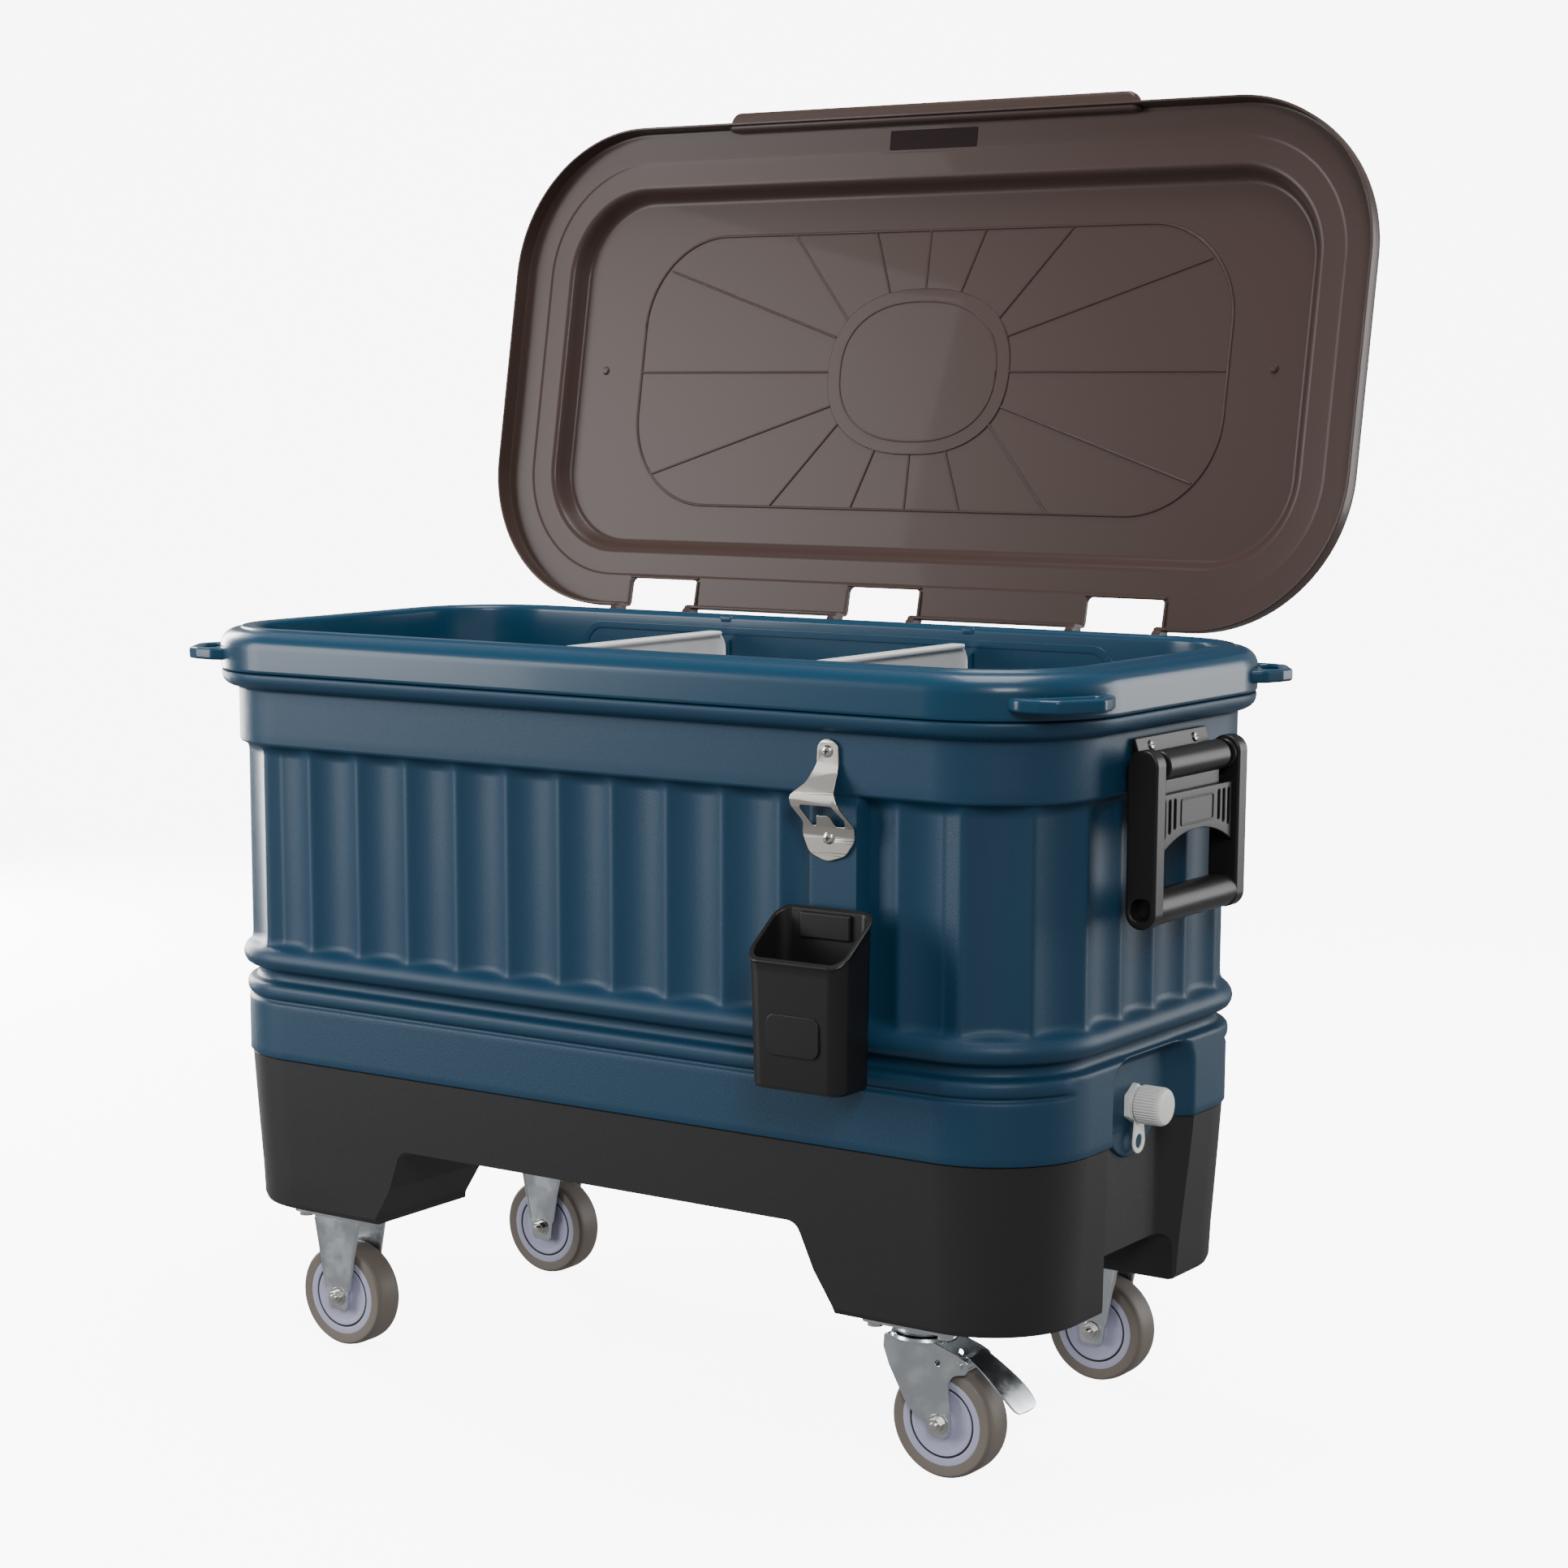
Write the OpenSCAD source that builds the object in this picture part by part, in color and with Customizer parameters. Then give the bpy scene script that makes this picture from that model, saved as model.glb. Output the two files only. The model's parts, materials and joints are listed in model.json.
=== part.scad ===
// Rolling party cooler: an insulated chest with a hinged lid on a four-legged base with casters.
// +X is the drain end, -Y is the front, +Z is up and z = 0 is the floor.
// The lid is drawn open on its stop, and every other part as it stands in use.

/* [Body] */
// Half the body's length, at the ridges between the flutes
body_x = 468; // [440:1:480]
// Half the body's width, at the ridges between the flutes
body_y = 212; // [205:1:225]
// Corner radius of the body, at the ridges
body_r = 97; // [85:1:105]
// Height of the seam between the shell and the liner's rim
seam_z = 672; // [665:1:680]
// Lowest height of the smooth band under the rim
band_z = 600; // [590:1:610]
// Lowest height of the flutes
flute_z = 401; // [395:1:410]
// Depth of a flute on a straight side
flute_depth = 7; // [4:0.5:8]
// Number of flutes all round the body
flute_count = 42; // [42:2:42]
// Height of the joint between the blue shell and the black base
base_z = 292; // [286:1:298]

/* [Rim and lid] */
// Height of the rim's top
rim_z = 714; // [710:1:718]
// How far the rim stands out past the ridges
rim_out = 25; // [22:1:27]
// How far the lid stands out past the ridges
lid_out = 46; // [44:1:48]
// Angle that the lid is open at its stop
lid_open = 100; // [95:1:104]
// Hinge axis, distance behind the middle
hinge_y = 269; // [266:1:272]
// Hinge axis, height
hinge_z = 702; // [700:1:703]
// Distance from the middle hinge to each outer hinge
hinge_gap = 278; // [260:1:285]

/* [Base and casters] */
// Height of the underside of the feet
foot_z = 138; // [136:1:142]
// Height of the front and back arches
arch_z = 218; // [205:1:228]
// Radius of a wheel, a 4 inch caster
wheel_r = 51; // [50:0.5:52]
// Width of a wheel's tread
wheel_w = 32; // [28:1:34]
// Half the distance between the wheels along the length
caster_x = 335; // [325:1:345]
// Half the distance between the wheels across the width
caster_y = 163; // [155:1:168]
// How far the swivelling caster's wheel trails its pivot
trail = 27; // [25:1:30]

/* [Fittings] */
// Middle of the bottle opener and the bin, along the front
station_x = 276; // [270:1:280]
// Half the width of a carrying handle
handle_y = 86; // [80:1:90]
// Height of a carrying handle's pivot
handle_z = 625; // [620:1:628]
// Height of the drain's centre
drain_z = 315; // [312:1:318]
// Distance of the left divider from the middle, towards the left end
divider_left = 133; // [110:1:160]
// Distance of the right divider from the middle, towards the drain end
divider_right = 155; // [110:1:170]

/* [Hidden] */
$fn = 64;
e = 0.01;
straight_x = body_x - body_r;
straight_y = body_y - body_r;
arc = PI * body_r / 2;
pitch = (4 * straight_x + 4 * straight_y + 4 * arc) / flute_count;
flute_r = pitch * pitch / 8 / flute_depth + flute_depth / 2;
corner_half = pitch / body_r / 2 * 180 / PI;
corner_cut = body_r * cos(corner_half) + sqrt(pow(flute_r, 2) - pow(body_r * sin(corner_half), 2));
shell_in = -14;
upper_shell_in = -4;
ledge_in = -12;
ledge_out = -8;
ledge_z = 640;
rim_low = 701;
loop_angle = 32;
tub_out = -24;
tub_in = -28;
tub_wall = 4;
deep_x = 53;
step_z = 388;
floor_z = 300;
neck_z = 697;
deck_z = 262;
notch_x = body_x - 22;
pocket_wall = 4;
band_out = 8;
band_x = body_x + band_out;
lid_z = rim_z + 2;
lid_t = 3;
dome_z = lid_z + 24;
cut_half = 43;
knuckle_half = 38;
left_divider_x = -divider_left;
right_divider_x = divider_right;
pin_r = 4;
run = 0.06;
screw_hole = 2.5;
handle_x = body_x + 29;
barrel_r = 13.5;
grip_z = 503;
fork_t = 2.5;
fork_gap = 37;
plate_t = 3.5;
corners = [[-1, -1], [-1, 1], [1, 1], [1, -1]];
rigid = [[-1, -1], [-1, 1], [1, 1]];
swivel_at = [caster_x, -caster_y, 0];

// ---------- shared shapes ----------

// A rounded rectangle given by its half sizes and its corner radius
module rounded(hx, hy, r) {
    square([2 * (hx - r), 2 * hy], center = true);
    square([2 * hx, 2 * (hy - r)], center = true);
    for (c = corners)
        translate([c[0] * (hx - r), c[1] * (hy - r)]) circle(r);
}

// The body's outline, moved outwards by out
module outline(out) { rounded(body_x + out, body_y + out, body_r + out); }

module slab(out, z0, z1) { translate([0, 0, z0]) linear_extrude(z1 - z0) outline(out); }

// The lid's outlines overhang the ends a little less than the sides
module lid_slab(out, z0, z1) {
    translate([0, 0, z0]) linear_extrude(z1 - z0) rounded(body_x - 6 + out, body_y + out, body_r + out);
}

// A ring between two outlines
module band(out, inside, z0, z1) {
    translate([0, 0, z0]) linear_extrude(z1 - z0) difference() {
        outline(out);
        outline(inside);
    }
}

// The point at arc length s along the ridge line, counted from the middle of the front, and its outward angle
function along(s) =
    s < 0 ? let (p = along(-s)) [-p[0], p[1], 180 - p[2]] :
    s < straight_x ? [s, -body_y, -90, 0] :
    s < straight_x + arc ? let (a = (s - straight_x) / body_r * 180 / PI - 90)
        [straight_x + body_r * cos(a), -straight_y + body_r * sin(a), a, 1] :
    s < straight_x + arc + 2 * straight_y ? [body_x, -straight_y + s - straight_x - arc, 0, 0] :
    let (t = s - straight_x - arc - 2 * straight_y)
    t < arc ? let (a = t / body_r * 180 / PI)
        [straight_x + body_r * cos(a), straight_y + body_r * sin(a), a, 1] :
    [straight_x - (t - arc), body_y, 90, 0];

module flute(s) {
    p = along(s);
    on_corner = along(abs(s))[3] == 1;
    push = on_corner ? corner_cut - body_r : flute_r - flute_depth;
    translate([p[0] + push * cos(p[2]), p[1] + push * sin(p[2])]) circle(flute_r, $fn = 96);
}

// A screw or bolt with a round head, its head's seat at the origin and its shank along -Z
module screw(r, length, head_r, head_h) {
    cylinder(r = head_r, h = head_h, $fn = 24);
    translate([0, 0, -length]) cylinder(r = r, h = length + e, $fn = 24);
}

module facing_front() { rotate([90, 0, 0]) children(); }
module facing_end(side) { rotate([0, side * 90, 0]) children(); }

// ---------- body ----------

// The recess in the drain end, as a shape seen from above
module notch_plan(grow) {
    polygon([[notch_x - grow, -50], [notch_x - grow, 50], [body_x + 20, 108 + grow], [body_x + 20, -108 - grow]]);
}

module outer_shell() {
    notch_top = 369;
    color([0.15, 0.24, 0.35]) difference() {
        union() {
            difference() {
                union() {
                    slab(band_out, band_z, seam_z);
                    slab(24, seam_z - 15, seam_z);
                    slab(6, seam_z, neck_z);
                    translate([0, 0, flute_z]) linear_extrude(band_z - flute_z + e) difference() {
                        outline(0);
                        for (k = [-flute_count / 2 : flute_count / 2 - 1]) flute(k * pitch);
                    }
                    slab(band_out, 379, flute_z);
                    slab(-6, 366, 379 + e);
                    slab(4, base_z, 366);
                    slab(-9, deck_z, base_z + e);
                    translate([station_x - 25, -body_y - band_out, flute_z])
                        cube([50, 30, band_z - flute_z]);
                }
                slab(shell_in, deck_z + 5, neck_z + 1);
                slab(upper_shell_in, band_z + 8, neck_z + 1);
            }
            intersection() {
                translate([0, 0, deck_z]) linear_extrude(notch_top + 6 - deck_z) notch_plan(pocket_wall);
                slab(-9, deck_z, notch_top + 6);
            }
        }
        difference() {
            translate([0, 0, deck_z - 1]) linear_extrude(notch_top - deck_z + 1) notch_plan(0);
            translate([notch_x - 2, 0, drain_z]) facing_end(1) cylinder(r = 49, h = 5);
        }
        translate([notch_x - 30, 0, drain_z]) facing_end(1) cylinder(r = 12.3, h = 60);
        front_screw_places(screw_hole);
        handle_screw_places() translate([0, 0, -18.5]) cylinder(r = screw_hole, h = 20, $fn = 24);
    }
}

// The pilot holes on the front for the opener's and the hanger's screws
module front_screw_places(r) {
    for (p = [[station_x - 5, 638], [station_x - 3, 564], [station_x, 442], [station_x, 458]])
        translate([p[0], -body_y - band_out - 1, p[1]]) rotate([-90, 0, 0]) cylinder(r = r, h = 24, $fn = 24);
}

module handle_screw_places() {
    for (side = [-1, 1]) at_end(side) for (s = [-1, 1])
        translate([band_x + 5.4, s * 41, handle_z + 16]) facing_end(1) children();
}

// Foam fills the space between the shell and the liner
module insulation_foam() {
    color([0.93, 0.88, 0.7]) difference() {
        slab(shell_in - 0.4, deck_z + 5.4, 690);
        slab(tub_out + 0.4, step_z - tub_wall - 0.4, 691);
        slab(ledge_out + 0.4, ledge_z - 0.4, 691);
        tub_block(floor_z - tub_wall - 0.4, step_z, 0.4);
        translate([0, 0, deck_z]) linear_extrude(120) notch_plan(pocket_wall + 1);
        translate([notch_x - 60, 0, drain_z]) facing_end(1) cylinder(r = 13.5, h = 70);
    }
}

// The narrower lower part of the tub, grown by gap
module tub_block(z0, z1, gap) {
    translate([0, 0, z0]) linear_extrude(z1 - z0)
        rounded(body_x - deep_x + gap, body_y + tub_out + gap, body_r + tub_out + gap);
}

// A small U-shaped tie-down loop standing out from a corner of the rim
module tie_loop() {
    difference() {
        union() {
            linear_extrude(12) polygon([[-10, -48], [6, -47], [21, -34], [21, 34], [6, 47], [-10, 48]]);
            for (side = [-1, 1]) translate([19, side * 24, 0]) cylinder(r = 13, h = 12);
            translate([19, -24, 0]) cube([13, 48, 12]);
        }
        translate([0, 0, -1]) linear_extrude(14)
            polygon([[5, -31], [14, -28], [21, -19], [21, 19], [14, 28], [5, 31]]);
    }
}

// The tub: a deep narrower part, a wider part, and a ledge that the dividers hang on
module inner_liner() {
    color([0.13, 0.27, 0.4]) difference() {
        union() {
            slab(ledge_out, ledge_z, rim_low);
            slab(tub_out, step_z - tub_wall, ledge_z + 1);
            tub_block(floor_z - tub_wall, step_z, 0);
        }
        slab(ledge_in, ledge_z + tub_wall, rim_z + 1);
        slab(tub_in, step_z, rim_z);
        translate([0, 0, floor_z]) linear_extrude(step_z - floor_z + e)
            rounded(body_x - deep_x - tub_wall, body_y + tub_in, body_r + tub_in);
        translate([body_x - 80, 0, drain_z]) facing_end(1) cylinder(r = 12.3, h = 60);
    }
}

// The rim: a thick ring over the shell's top, with the corner loops and the hinge knuckles
module rim_ring() {
    color([0.13, 0.27, 0.4]) difference() {
        union() {
            band(rim_out, ledge_in, rim_low, rim_z);
            band(rim_out, rim_out - 5, seam_z + 0.3, rim_low + e);
            for (c = corners)
                translate([c[0] * straight_x, c[1] * straight_y, 681])
                    rotate([0, 0, atan2(c[1] * sin(loop_angle), c[0] * cos(loop_angle))])
                        translate([body_r + rim_out - 2, 0, 0]) tie_loop();
            for (k = [-1 : 1]) translate([k * hinge_gap, 0, 0]) hinge_knuckle();
        }
        for (k = [-1 : 1])
            translate([k * hinge_gap - knuckle_half - 1, hinge_y, hinge_z])
                facing_end(1) cylinder(r = pin_r + 0.02, h = 2 * knuckle_half + 2);
    }
}

// Short ribs above the ledge, two beside each end of a divider
module divider_guides() {
    color([0.13, 0.27, 0.4]) for (x = [left_divider_x, right_divider_x], side = [-1, 1], edge = [-1, 1])
        translate([x + edge * 5 - 1.5, side * (body_y + ledge_in) - (side > 0 ? 3.5 : 0), ledge_z + tub_wall + 1])
            cube([3, 3.5, 44]);
}

// The part of a hinge that stands out from the back of the rim
module hinge_knuckle() {
    translate([-knuckle_half, body_y + rim_out - 6, hinge_z - 11])
        cube([2 * knuckle_half, hinge_y - body_y - rim_out + 6, 18]);
    translate([-knuckle_half, hinge_y, hinge_z]) facing_end(1) cylinder(r = 8.5, h = 2 * knuckle_half);
}

module hinge_pins() {
    color([0.8, 0.8, 0.82]) for (k = [-1 : 1])
        translate([k * hinge_gap - cut_half - 11, hinge_y, hinge_z]) facing_end(1) {
            cylinder(r = pin_r, h = 2 * cut_half + 22);
            translate([0, 0, -2]) cylinder(r = 6, h = 2);
            translate([0, 0, 2 * cut_half + 22]) cylinder(r = 6, h = 2);
        }
}

// ---------- base ----------

// The profile of the front and back arches, seen from the front
module arch_profile() {
    polygon([[-268, foot_z - 1], [-245, 178], [-230, arch_z - 8], [-218, arch_z], [218, arch_z],
             [230, arch_z - 8], [245, 178], [268, foot_z - 1]]);
}

module base_skirt() {
    end_arch = 183;
    color([0.16, 0.16, 0.17]) difference() {
        union() {
            slab(2, 215, base_z - 0.3);
            slab(-4, foot_z, 215 + e);
        }
        slab(-8.6, deck_z, base_z + 1);
        translate([0, body_y + 20, 0]) facing_front() linear_extrude(2 * body_y + 40) arch_profile();
        translate([-body_x - 20, -66, foot_z - 1]) cube([2 * body_x + 40, 132, end_arch - foot_z + 1]);
        translate([0, 0, foot_z - 1]) linear_extrude(200) intersection() {
            notch_plan(0);
            translate([0, -120]) square([body_x + 30, 240]);
        }
        translate([0, 0, arch_z + 5]) linear_extrude(100) rounded(212, body_y - 14, 20);
        for (c = corners)
            translate([0, 0, foot_z + 8]) linear_extrude(deck_z - foot_z) intersection() {
                outline(-11);
                union() {
                    translate([c[0] * 353, c[1] * 146]) square([152, 140], center = true);
                    translate([c[0] * 440, c[1] * 156]) square([50, 120], center = true);
                }
            }
        for (side = [-1, 1]) translate([side * 353, 0, end_arch + 5]) linear_extrude(100)
            square([152, 146], center = true);
        for (c = corners) caster_bolt_places(c) translate([0, 0, foot_z - 1]) cylinder(r = 4.2, h = 10, $fn = 24);
    }
    color([0.16, 0.16, 0.17]) intersection() {
        translate([0, 0, end_arch]) linear_extrude(deck_z - end_arch)
            translate([notch_x - 8, -90]) square([8, 180]);
        slab(-4, end_arch, deck_z);
    }
}

// ---------- front fittings ----------

module bottle_opener() {
    back = -body_y - band_out - 0.2;
    color([0.75, 0.73, 0.7]) difference() {
        union() {
            translate([station_x - 5, back, 0]) facing_front() linear_extrude(2.5) {
                translate([0, 638]) circle(10.5);
                polygon([[-10.5, 638], [10.5, 638], [12, 618], [-16, 618]]);
            }
            translate([station_x - 5, back - 0.8, 618]) rotate([62, 0, 0]) linear_extrude(2.5)
                polygon([[-16, 1.5], [13, 1.5], [15, -22], [-31, -22], [-31, -14]]);
            translate([station_x - 5, back - 11, 0]) facing_front() linear_extrude(2.5)
                difference() {
                    polygon([[-31, 596], [15, 596], [29, 582], [29, 572], [-24, 572]]);
                    translate([0, 586]) square([34, 13], center = true);
                }
            translate([station_x - 5, back, 0]) facing_front() linear_extrude(2.5) {
                translate([2, 564]) circle(20);
                polygon([[-24, 573.4], [29, 573.4], [21, 560], [-17, 560]]);
            }
            translate([station_x - 29, back - 13.4, 571]) cube([53, 13.4, 2.5]);
            translate([station_x - 11, back - 13.4, 582]) cube([12, 2.5, 11]);
        }
        translate([station_x - 5, back + 1, 638]) facing_front() cylinder(r = 3, h = 8, $fn = 24);
        translate([station_x - 3, back + 1, 564]) facing_front() cylinder(r = 3, h = 8, $fn = 24);
    }
}

module opener_screws() {
    back = -body_y - band_out - 2.8;
    color([0.85, 0.85, 0.85]) {
        translate([station_x - 5, back, 638]) facing_front() screw(2.4, 13, 5.5, 2.5);
        translate([station_x - 3, back, 564]) facing_front() screw(2.4, 13, 5.5, 2.5);
    }
}

// A flat hook plate on the pad, which the bin hangs on
module bin_hanger() {
    back = -body_y - band_out - 0.2;
    color([0.14, 0.14, 0.15]) difference() {
        union() {
            translate([station_x - 21, back - 3, 430]) cube([42, 3, 62]);
            translate([station_x - 21, back - 9, 476]) cube([42, 3, 16]);
            translate([station_x - 21, back - 9, 470]) cube([42, 9, 6]);
        }
        for (z = [442, 458])
            translate([station_x, back + 1, z]) facing_front() cylinder(r = 2.6, h = 8, $fn = 24);
    }
}

module hanger_screws() {
    color([0.6, 0.6, 0.62]) for (z = [442, 458])
        translate([station_x, -body_y - band_out - 3.2, z]) facing_front() screw(2.3, 20, 4.6, 2);
}

bin_back = -body_y - band_out - 10;
bin_front = -body_y - 74;
bin_low = 353;
bin_top = 505;
bin_lip = 465;
bin_r = 15;

module bin_plan(inset, half) {
    mid = (bin_back + bin_front) / 2;
    translate([station_x, mid]) rounded(half - inset, (bin_back - bin_front) / 2 - inset, bin_r - inset);
}

// The bin's back wall hooks over the hanger, and its open top slopes to the front
module catch_bin() {
    color([0.18, 0.18, 0.19]) difference() {
        union() {
            translate([0, 0, bin_low]) linear_extrude(60) bin_plan(2, 48);
            translate([0, 0, bin_low + 60 - e]) linear_extrude(bin_top - bin_low - 60) bin_plan(0, 49);
            translate([station_x - 20, bin_back - 2, 492.3]) cube([40, 8.5, 4.2]);
            translate([station_x - 20, bin_back + 4.1, 479]) cube([40, 2.4, 17.5]);
        }
        translate([0, 0, bin_low + 3]) linear_extrude(57) bin_plan(5, 48);
        translate([0, 0, bin_low + 60 - 2 * e]) linear_extrude(100) bin_plan(3, 49);
        translate([station_x + 60, 0, 0]) rotate([90, 0, -90]) linear_extrude(120)
            polygon([[-bin_back - 4, bin_top + 1], [-bin_front + 1, bin_lip], [-bin_front + 1, bin_top + 1]]);
    }
}

// ---------- drain ----------

module drain_spout() {
    color([0.93, 0.93, 0.9]) difference() {
        union() {
            translate([397, 0, drain_z]) facing_end(1) cylinder(r = 12, h = notch_x + 24 - 397);
            translate([notch_x + 3.2, 0, drain_z]) facing_end(1) rotate([0, 0, 30]) cylinder(r = 19, h = 6, $fn = 6);
        }
        translate([390, 0, drain_z]) facing_end(1) cylinder(r = 9, h = 100);
    }
}

module drain_gasket() {
    color([0.1, 0.1, 0.1]) translate([402.4, 0, drain_z]) facing_end(1) difference() {
        cylinder(r = 14.6, h = 2.4);
        translate([0, 0, -1]) cylinder(r = 12.2, h = 5);
    }
}

module drain_nut() {
    color([0.93, 0.93, 0.9]) translate([397, 0, drain_z]) facing_end(1) difference() {
        cylinder(r = 14.6, h = 5.2);
        translate([0, 0, -1]) cylinder(r = 12.1, h = 8);
    }
}

// A flat strap with an eye at each end: one round the spout, one hanging free
module drain_tether() {
    color([0.93, 0.93, 0.9]) translate([notch_x + 9.4, 0, 0]) facing_end(1) linear_extrude(1.6) difference() {
        union() {
            translate([-drain_z, 0]) circle(16);
            translate([-drain_z + 34, 0]) circle(11);
            translate([-drain_z + 22, 0]) square([16, 12], center = true);
        }
        translate([-drain_z, 0]) circle(12.2);
        translate([-drain_z + 34, 0]) circle(7);
    }
}

module drain_cap() {
    ribs = 24;
    color([0.95, 0.95, 0.92]) translate([notch_x + 12.4, 0, drain_z]) facing_end(1) difference() {
        union() {
            cylinder(r = 16, h = 26);
            for (k = [0 : ribs - 1]) rotate([0, 0, k * 360 / ribs]) translate([15, -0.9, 0]) cube([2.4, 1.8, 24]);
        }
        translate([0, 0, -1]) cylinder(r = 12.06, h = 14);
        translate([0, 0, -1]) cylinder(r = 9, h = 24);
    }
}

// ---------- dividers ----------

// A white partition with a flanged edge, which drops between ribs on the front and back walls
module divider(x) {
    wide = body_y + ledge_in - 1.2;
    color([0.95, 0.95, 0.95]) translate([x, 0, 0]) difference() {
        union() {
            translate([-1.5, 0, 0]) rotate([90, 0, 90]) linear_extrude(3) divider_face(wide);
            translate([-8, -wide + 12, 694]) cube([16, 2 * wide - 24, 5]);
        }
        translate([-20, -70, 660]) cube([40, 140, 18]);
    }
}

module divider_face(wide) {
    deep = body_y + tub_in - 1.2;
    translate([-deep, floor_z + 0.3]) square([2 * deep, 350]);
    translate([-wide, ledge_z + tub_wall + 0.2]) square([2 * wide, 679 - ledge_z - tub_wall - 0.2]);
    translate([-wide + 20, 660]) square([2 * wide - 40, 39]);
    for (s = [-1, 1]) translate([s * (wide - 20), 679]) circle(20);
}

module left_divider() { divider(left_divider_x); }
module right_divider() { divider(right_divider_x); }

// ---------- lid ----------

// Turns a part drawn on the closed lid to where it stands open
module opened() {
    translate([0, hinge_y, hinge_z]) rotate([-lid_open, 0, 0]) translate([0, -hinge_y, -hinge_z]) children();
}

module lid() {
    lip_half = 240;
    color([0.35, 0.28, 0.26, 0.6]) opened() difference() {
        union() {
            lid_slab(lid_out, lid_z - 16, lid_z + 3);
            lid_slab(-8, lid_z + 3 - e, dome_z - 6);
            lid_slab(-30, dome_z - 6 - e, dome_z + lid_t);
            translate([-lip_half, -body_y - lid_out - 12, lid_z - 10]) cube([2 * lip_half, 40, 13]);
            for (k = [-1 : 1], s = [-1, 1]) translate([k * hinge_gap + s * (cut_half + 4.5), 0, 0]) lid_lug();
        }
        lid_slab(lid_out - lid_t, lid_z - 17, rim_z + 0.5);
        lid_slab(-8 - lid_t, rim_z + 0.5 - e, dome_z - 9);
        lid_slab(-30 - lid_t, dome_z - 9 - e, dome_z);
        for (k = [-1 : 1]) {
            translate([k * hinge_gap - cut_half, 226, lid_z - 20]) cube([2 * cut_half, 60, 40]);
            translate([k * hinge_gap - cut_half - 20, hinge_y, hinge_z])
                facing_end(1) cylinder(r = pin_r + run, h = 2 * cut_half + 40);
        }
    }
}

// A lug beside a cut-out, which turns on the hinge pin
module lid_lug() {
    translate([-4.3, body_y + lid_out - 4, hinge_z]) cube([8.6, hinge_y - body_y - lid_out + 4, 12]);
    translate([-4.3, hinge_y, hinge_z]) facing_end(1) cylinder(r = 8, h = 8.6);
}

module lid_label() {
    color([0.3, 0.12, 0.14]) opened()
        translate([-55, -body_y - 32, rim_z + 0.15]) cube([110, 40, 0.3]);
}

// ---------- carrying handles ----------

// Places a part drawn for the right end at either end
module at_end(side) { mirror([side < 0 ? 1 : 0, 0, 0]) children(); }

ear_y = 61;
ear_t = 6;

module handle_bracket() {
    color([0.13, 0.12, 0.11]) difference() {
        union() {
            translate([band_x + 0.2, -66, handle_z - 15]) cube([5, 132, 37]);
            for (s = [-1, 1]) {
                translate([band_x + 0.2, s * ear_y - ear_t / 2, handle_z - 9]) cube([handle_x - band_x, ear_t, 18]);
                translate([handle_x, s * ear_y - ear_t / 2, handle_z]) rotate([-90, 0, 0]) cylinder(r = 9, h = ear_t);
            }
        }
        for (s = [-1, 1])
            translate([band_x - 1, s * 41, handle_z + 16]) facing_end(1) cylinder(r = 2.6, h = 12, $fn = 24);
        translate([handle_x, -80, handle_z]) rotate([-90, 0, 0]) cylinder(r = 3.5, h = 160);
    }
}

module handle_screws() {
    color([0.75, 0.75, 0.77]) handle_screw_places() screw(2.4, 18, 4.5, 2);
}

module handle_pins() {
    color([0.75, 0.75, 0.77]) for (side = [-1, 1]) at_end(side)
        translate([handle_x, -handle_y + 3, handle_z]) rotate([-90, 0, 0]) cylinder(r = 3.5, h = 2 * handle_y - 6);
}

// One moulding: two arms, a barrel that turns in the bracket, a slotted plate and a round grip
module carry_handle() {
    arm = 17;
    low = grip_z;
    color([0.17, 0.155, 0.145]) {
        difference() {
            union() {
                for (s = [-1, 1]) translate([0, s > 0 ? handle_y : -handle_y + arm, 0]) facing_front()
                    linear_extrude(arm) difference() {
                        union() {
                            translate([handle_x, handle_z]) circle(16);
                            translate([handle_x - 13, low]) square([29, handle_z - low]);
                            translate([handle_x, low]) circle(15);
                        }
                        translate([handle_x - 16.5, handle_z - 30]) square([3.2, 60]);
                    }
                translate([handle_x, -handle_y + 2, low]) rotate([-90, 0, 0]) cylinder(r = 15, h = 2 * handle_y - 4);
                for (s = [-1, 1])
                    translate([handle_x, s > 0 ? ear_y + ear_t / 2 + 0.5 : -handle_y + 2, handle_z])
                        rotate([-90, 0, 0]) cylinder(r = barrel_r, h = handle_y - ear_y - ear_t / 2 - 2.5);
                translate([handle_x, -ear_y + ear_t / 2 + 0.5, handle_z])
                    rotate([-90, 0, 0]) cylinder(r = barrel_r, h = 2 * ear_y - ear_t - 1);
                translate([handle_x + 1, -handle_y + 4, 0]) rotate([90, 0, 90]) linear_extrude(9)
                    handle_plate(2 * handle_y - 8);
                translate([handle_x + 2, -52, 596]) cube([6, 104, 20]);
            }
            translate([handle_x, -handle_y - 1, handle_z]) rotate([-90, 0, 0])
                cylinder(r = 3.5 + run, h = 2 * handle_y + 2);
            translate([handle_x, -handle_y - 1, low]) rotate([-90, 0, 0]) cylinder(r = 9, h = 2 * handle_y + 2);
        }
    }
}

// The plate between the arms, seen from the end, with three slots each side and an arched lower edge
module handle_plate(width) {
    difference() {
        translate([0, 548]) square([width, 52]);
        translate([width / 2, 565 - 140]) circle(140, $fn = 128);
        for (s = [-1, 1], k = [0 : 2])
            translate([width / 2 + s * (41 + 9.5 * k) - 2.2, 567 - 3 * k]) square([4.4, 29 + 3 * k]);
    }
}

module left_handle_bracket() { at_end(-1) handle_bracket(); }
module right_handle_bracket() { at_end(1) handle_bracket(); }
module left_handle() { at_end(-1) carry_handle(); }
module right_handle() { at_end(1) carry_handle(); }

// ---------- casters ----------

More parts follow.
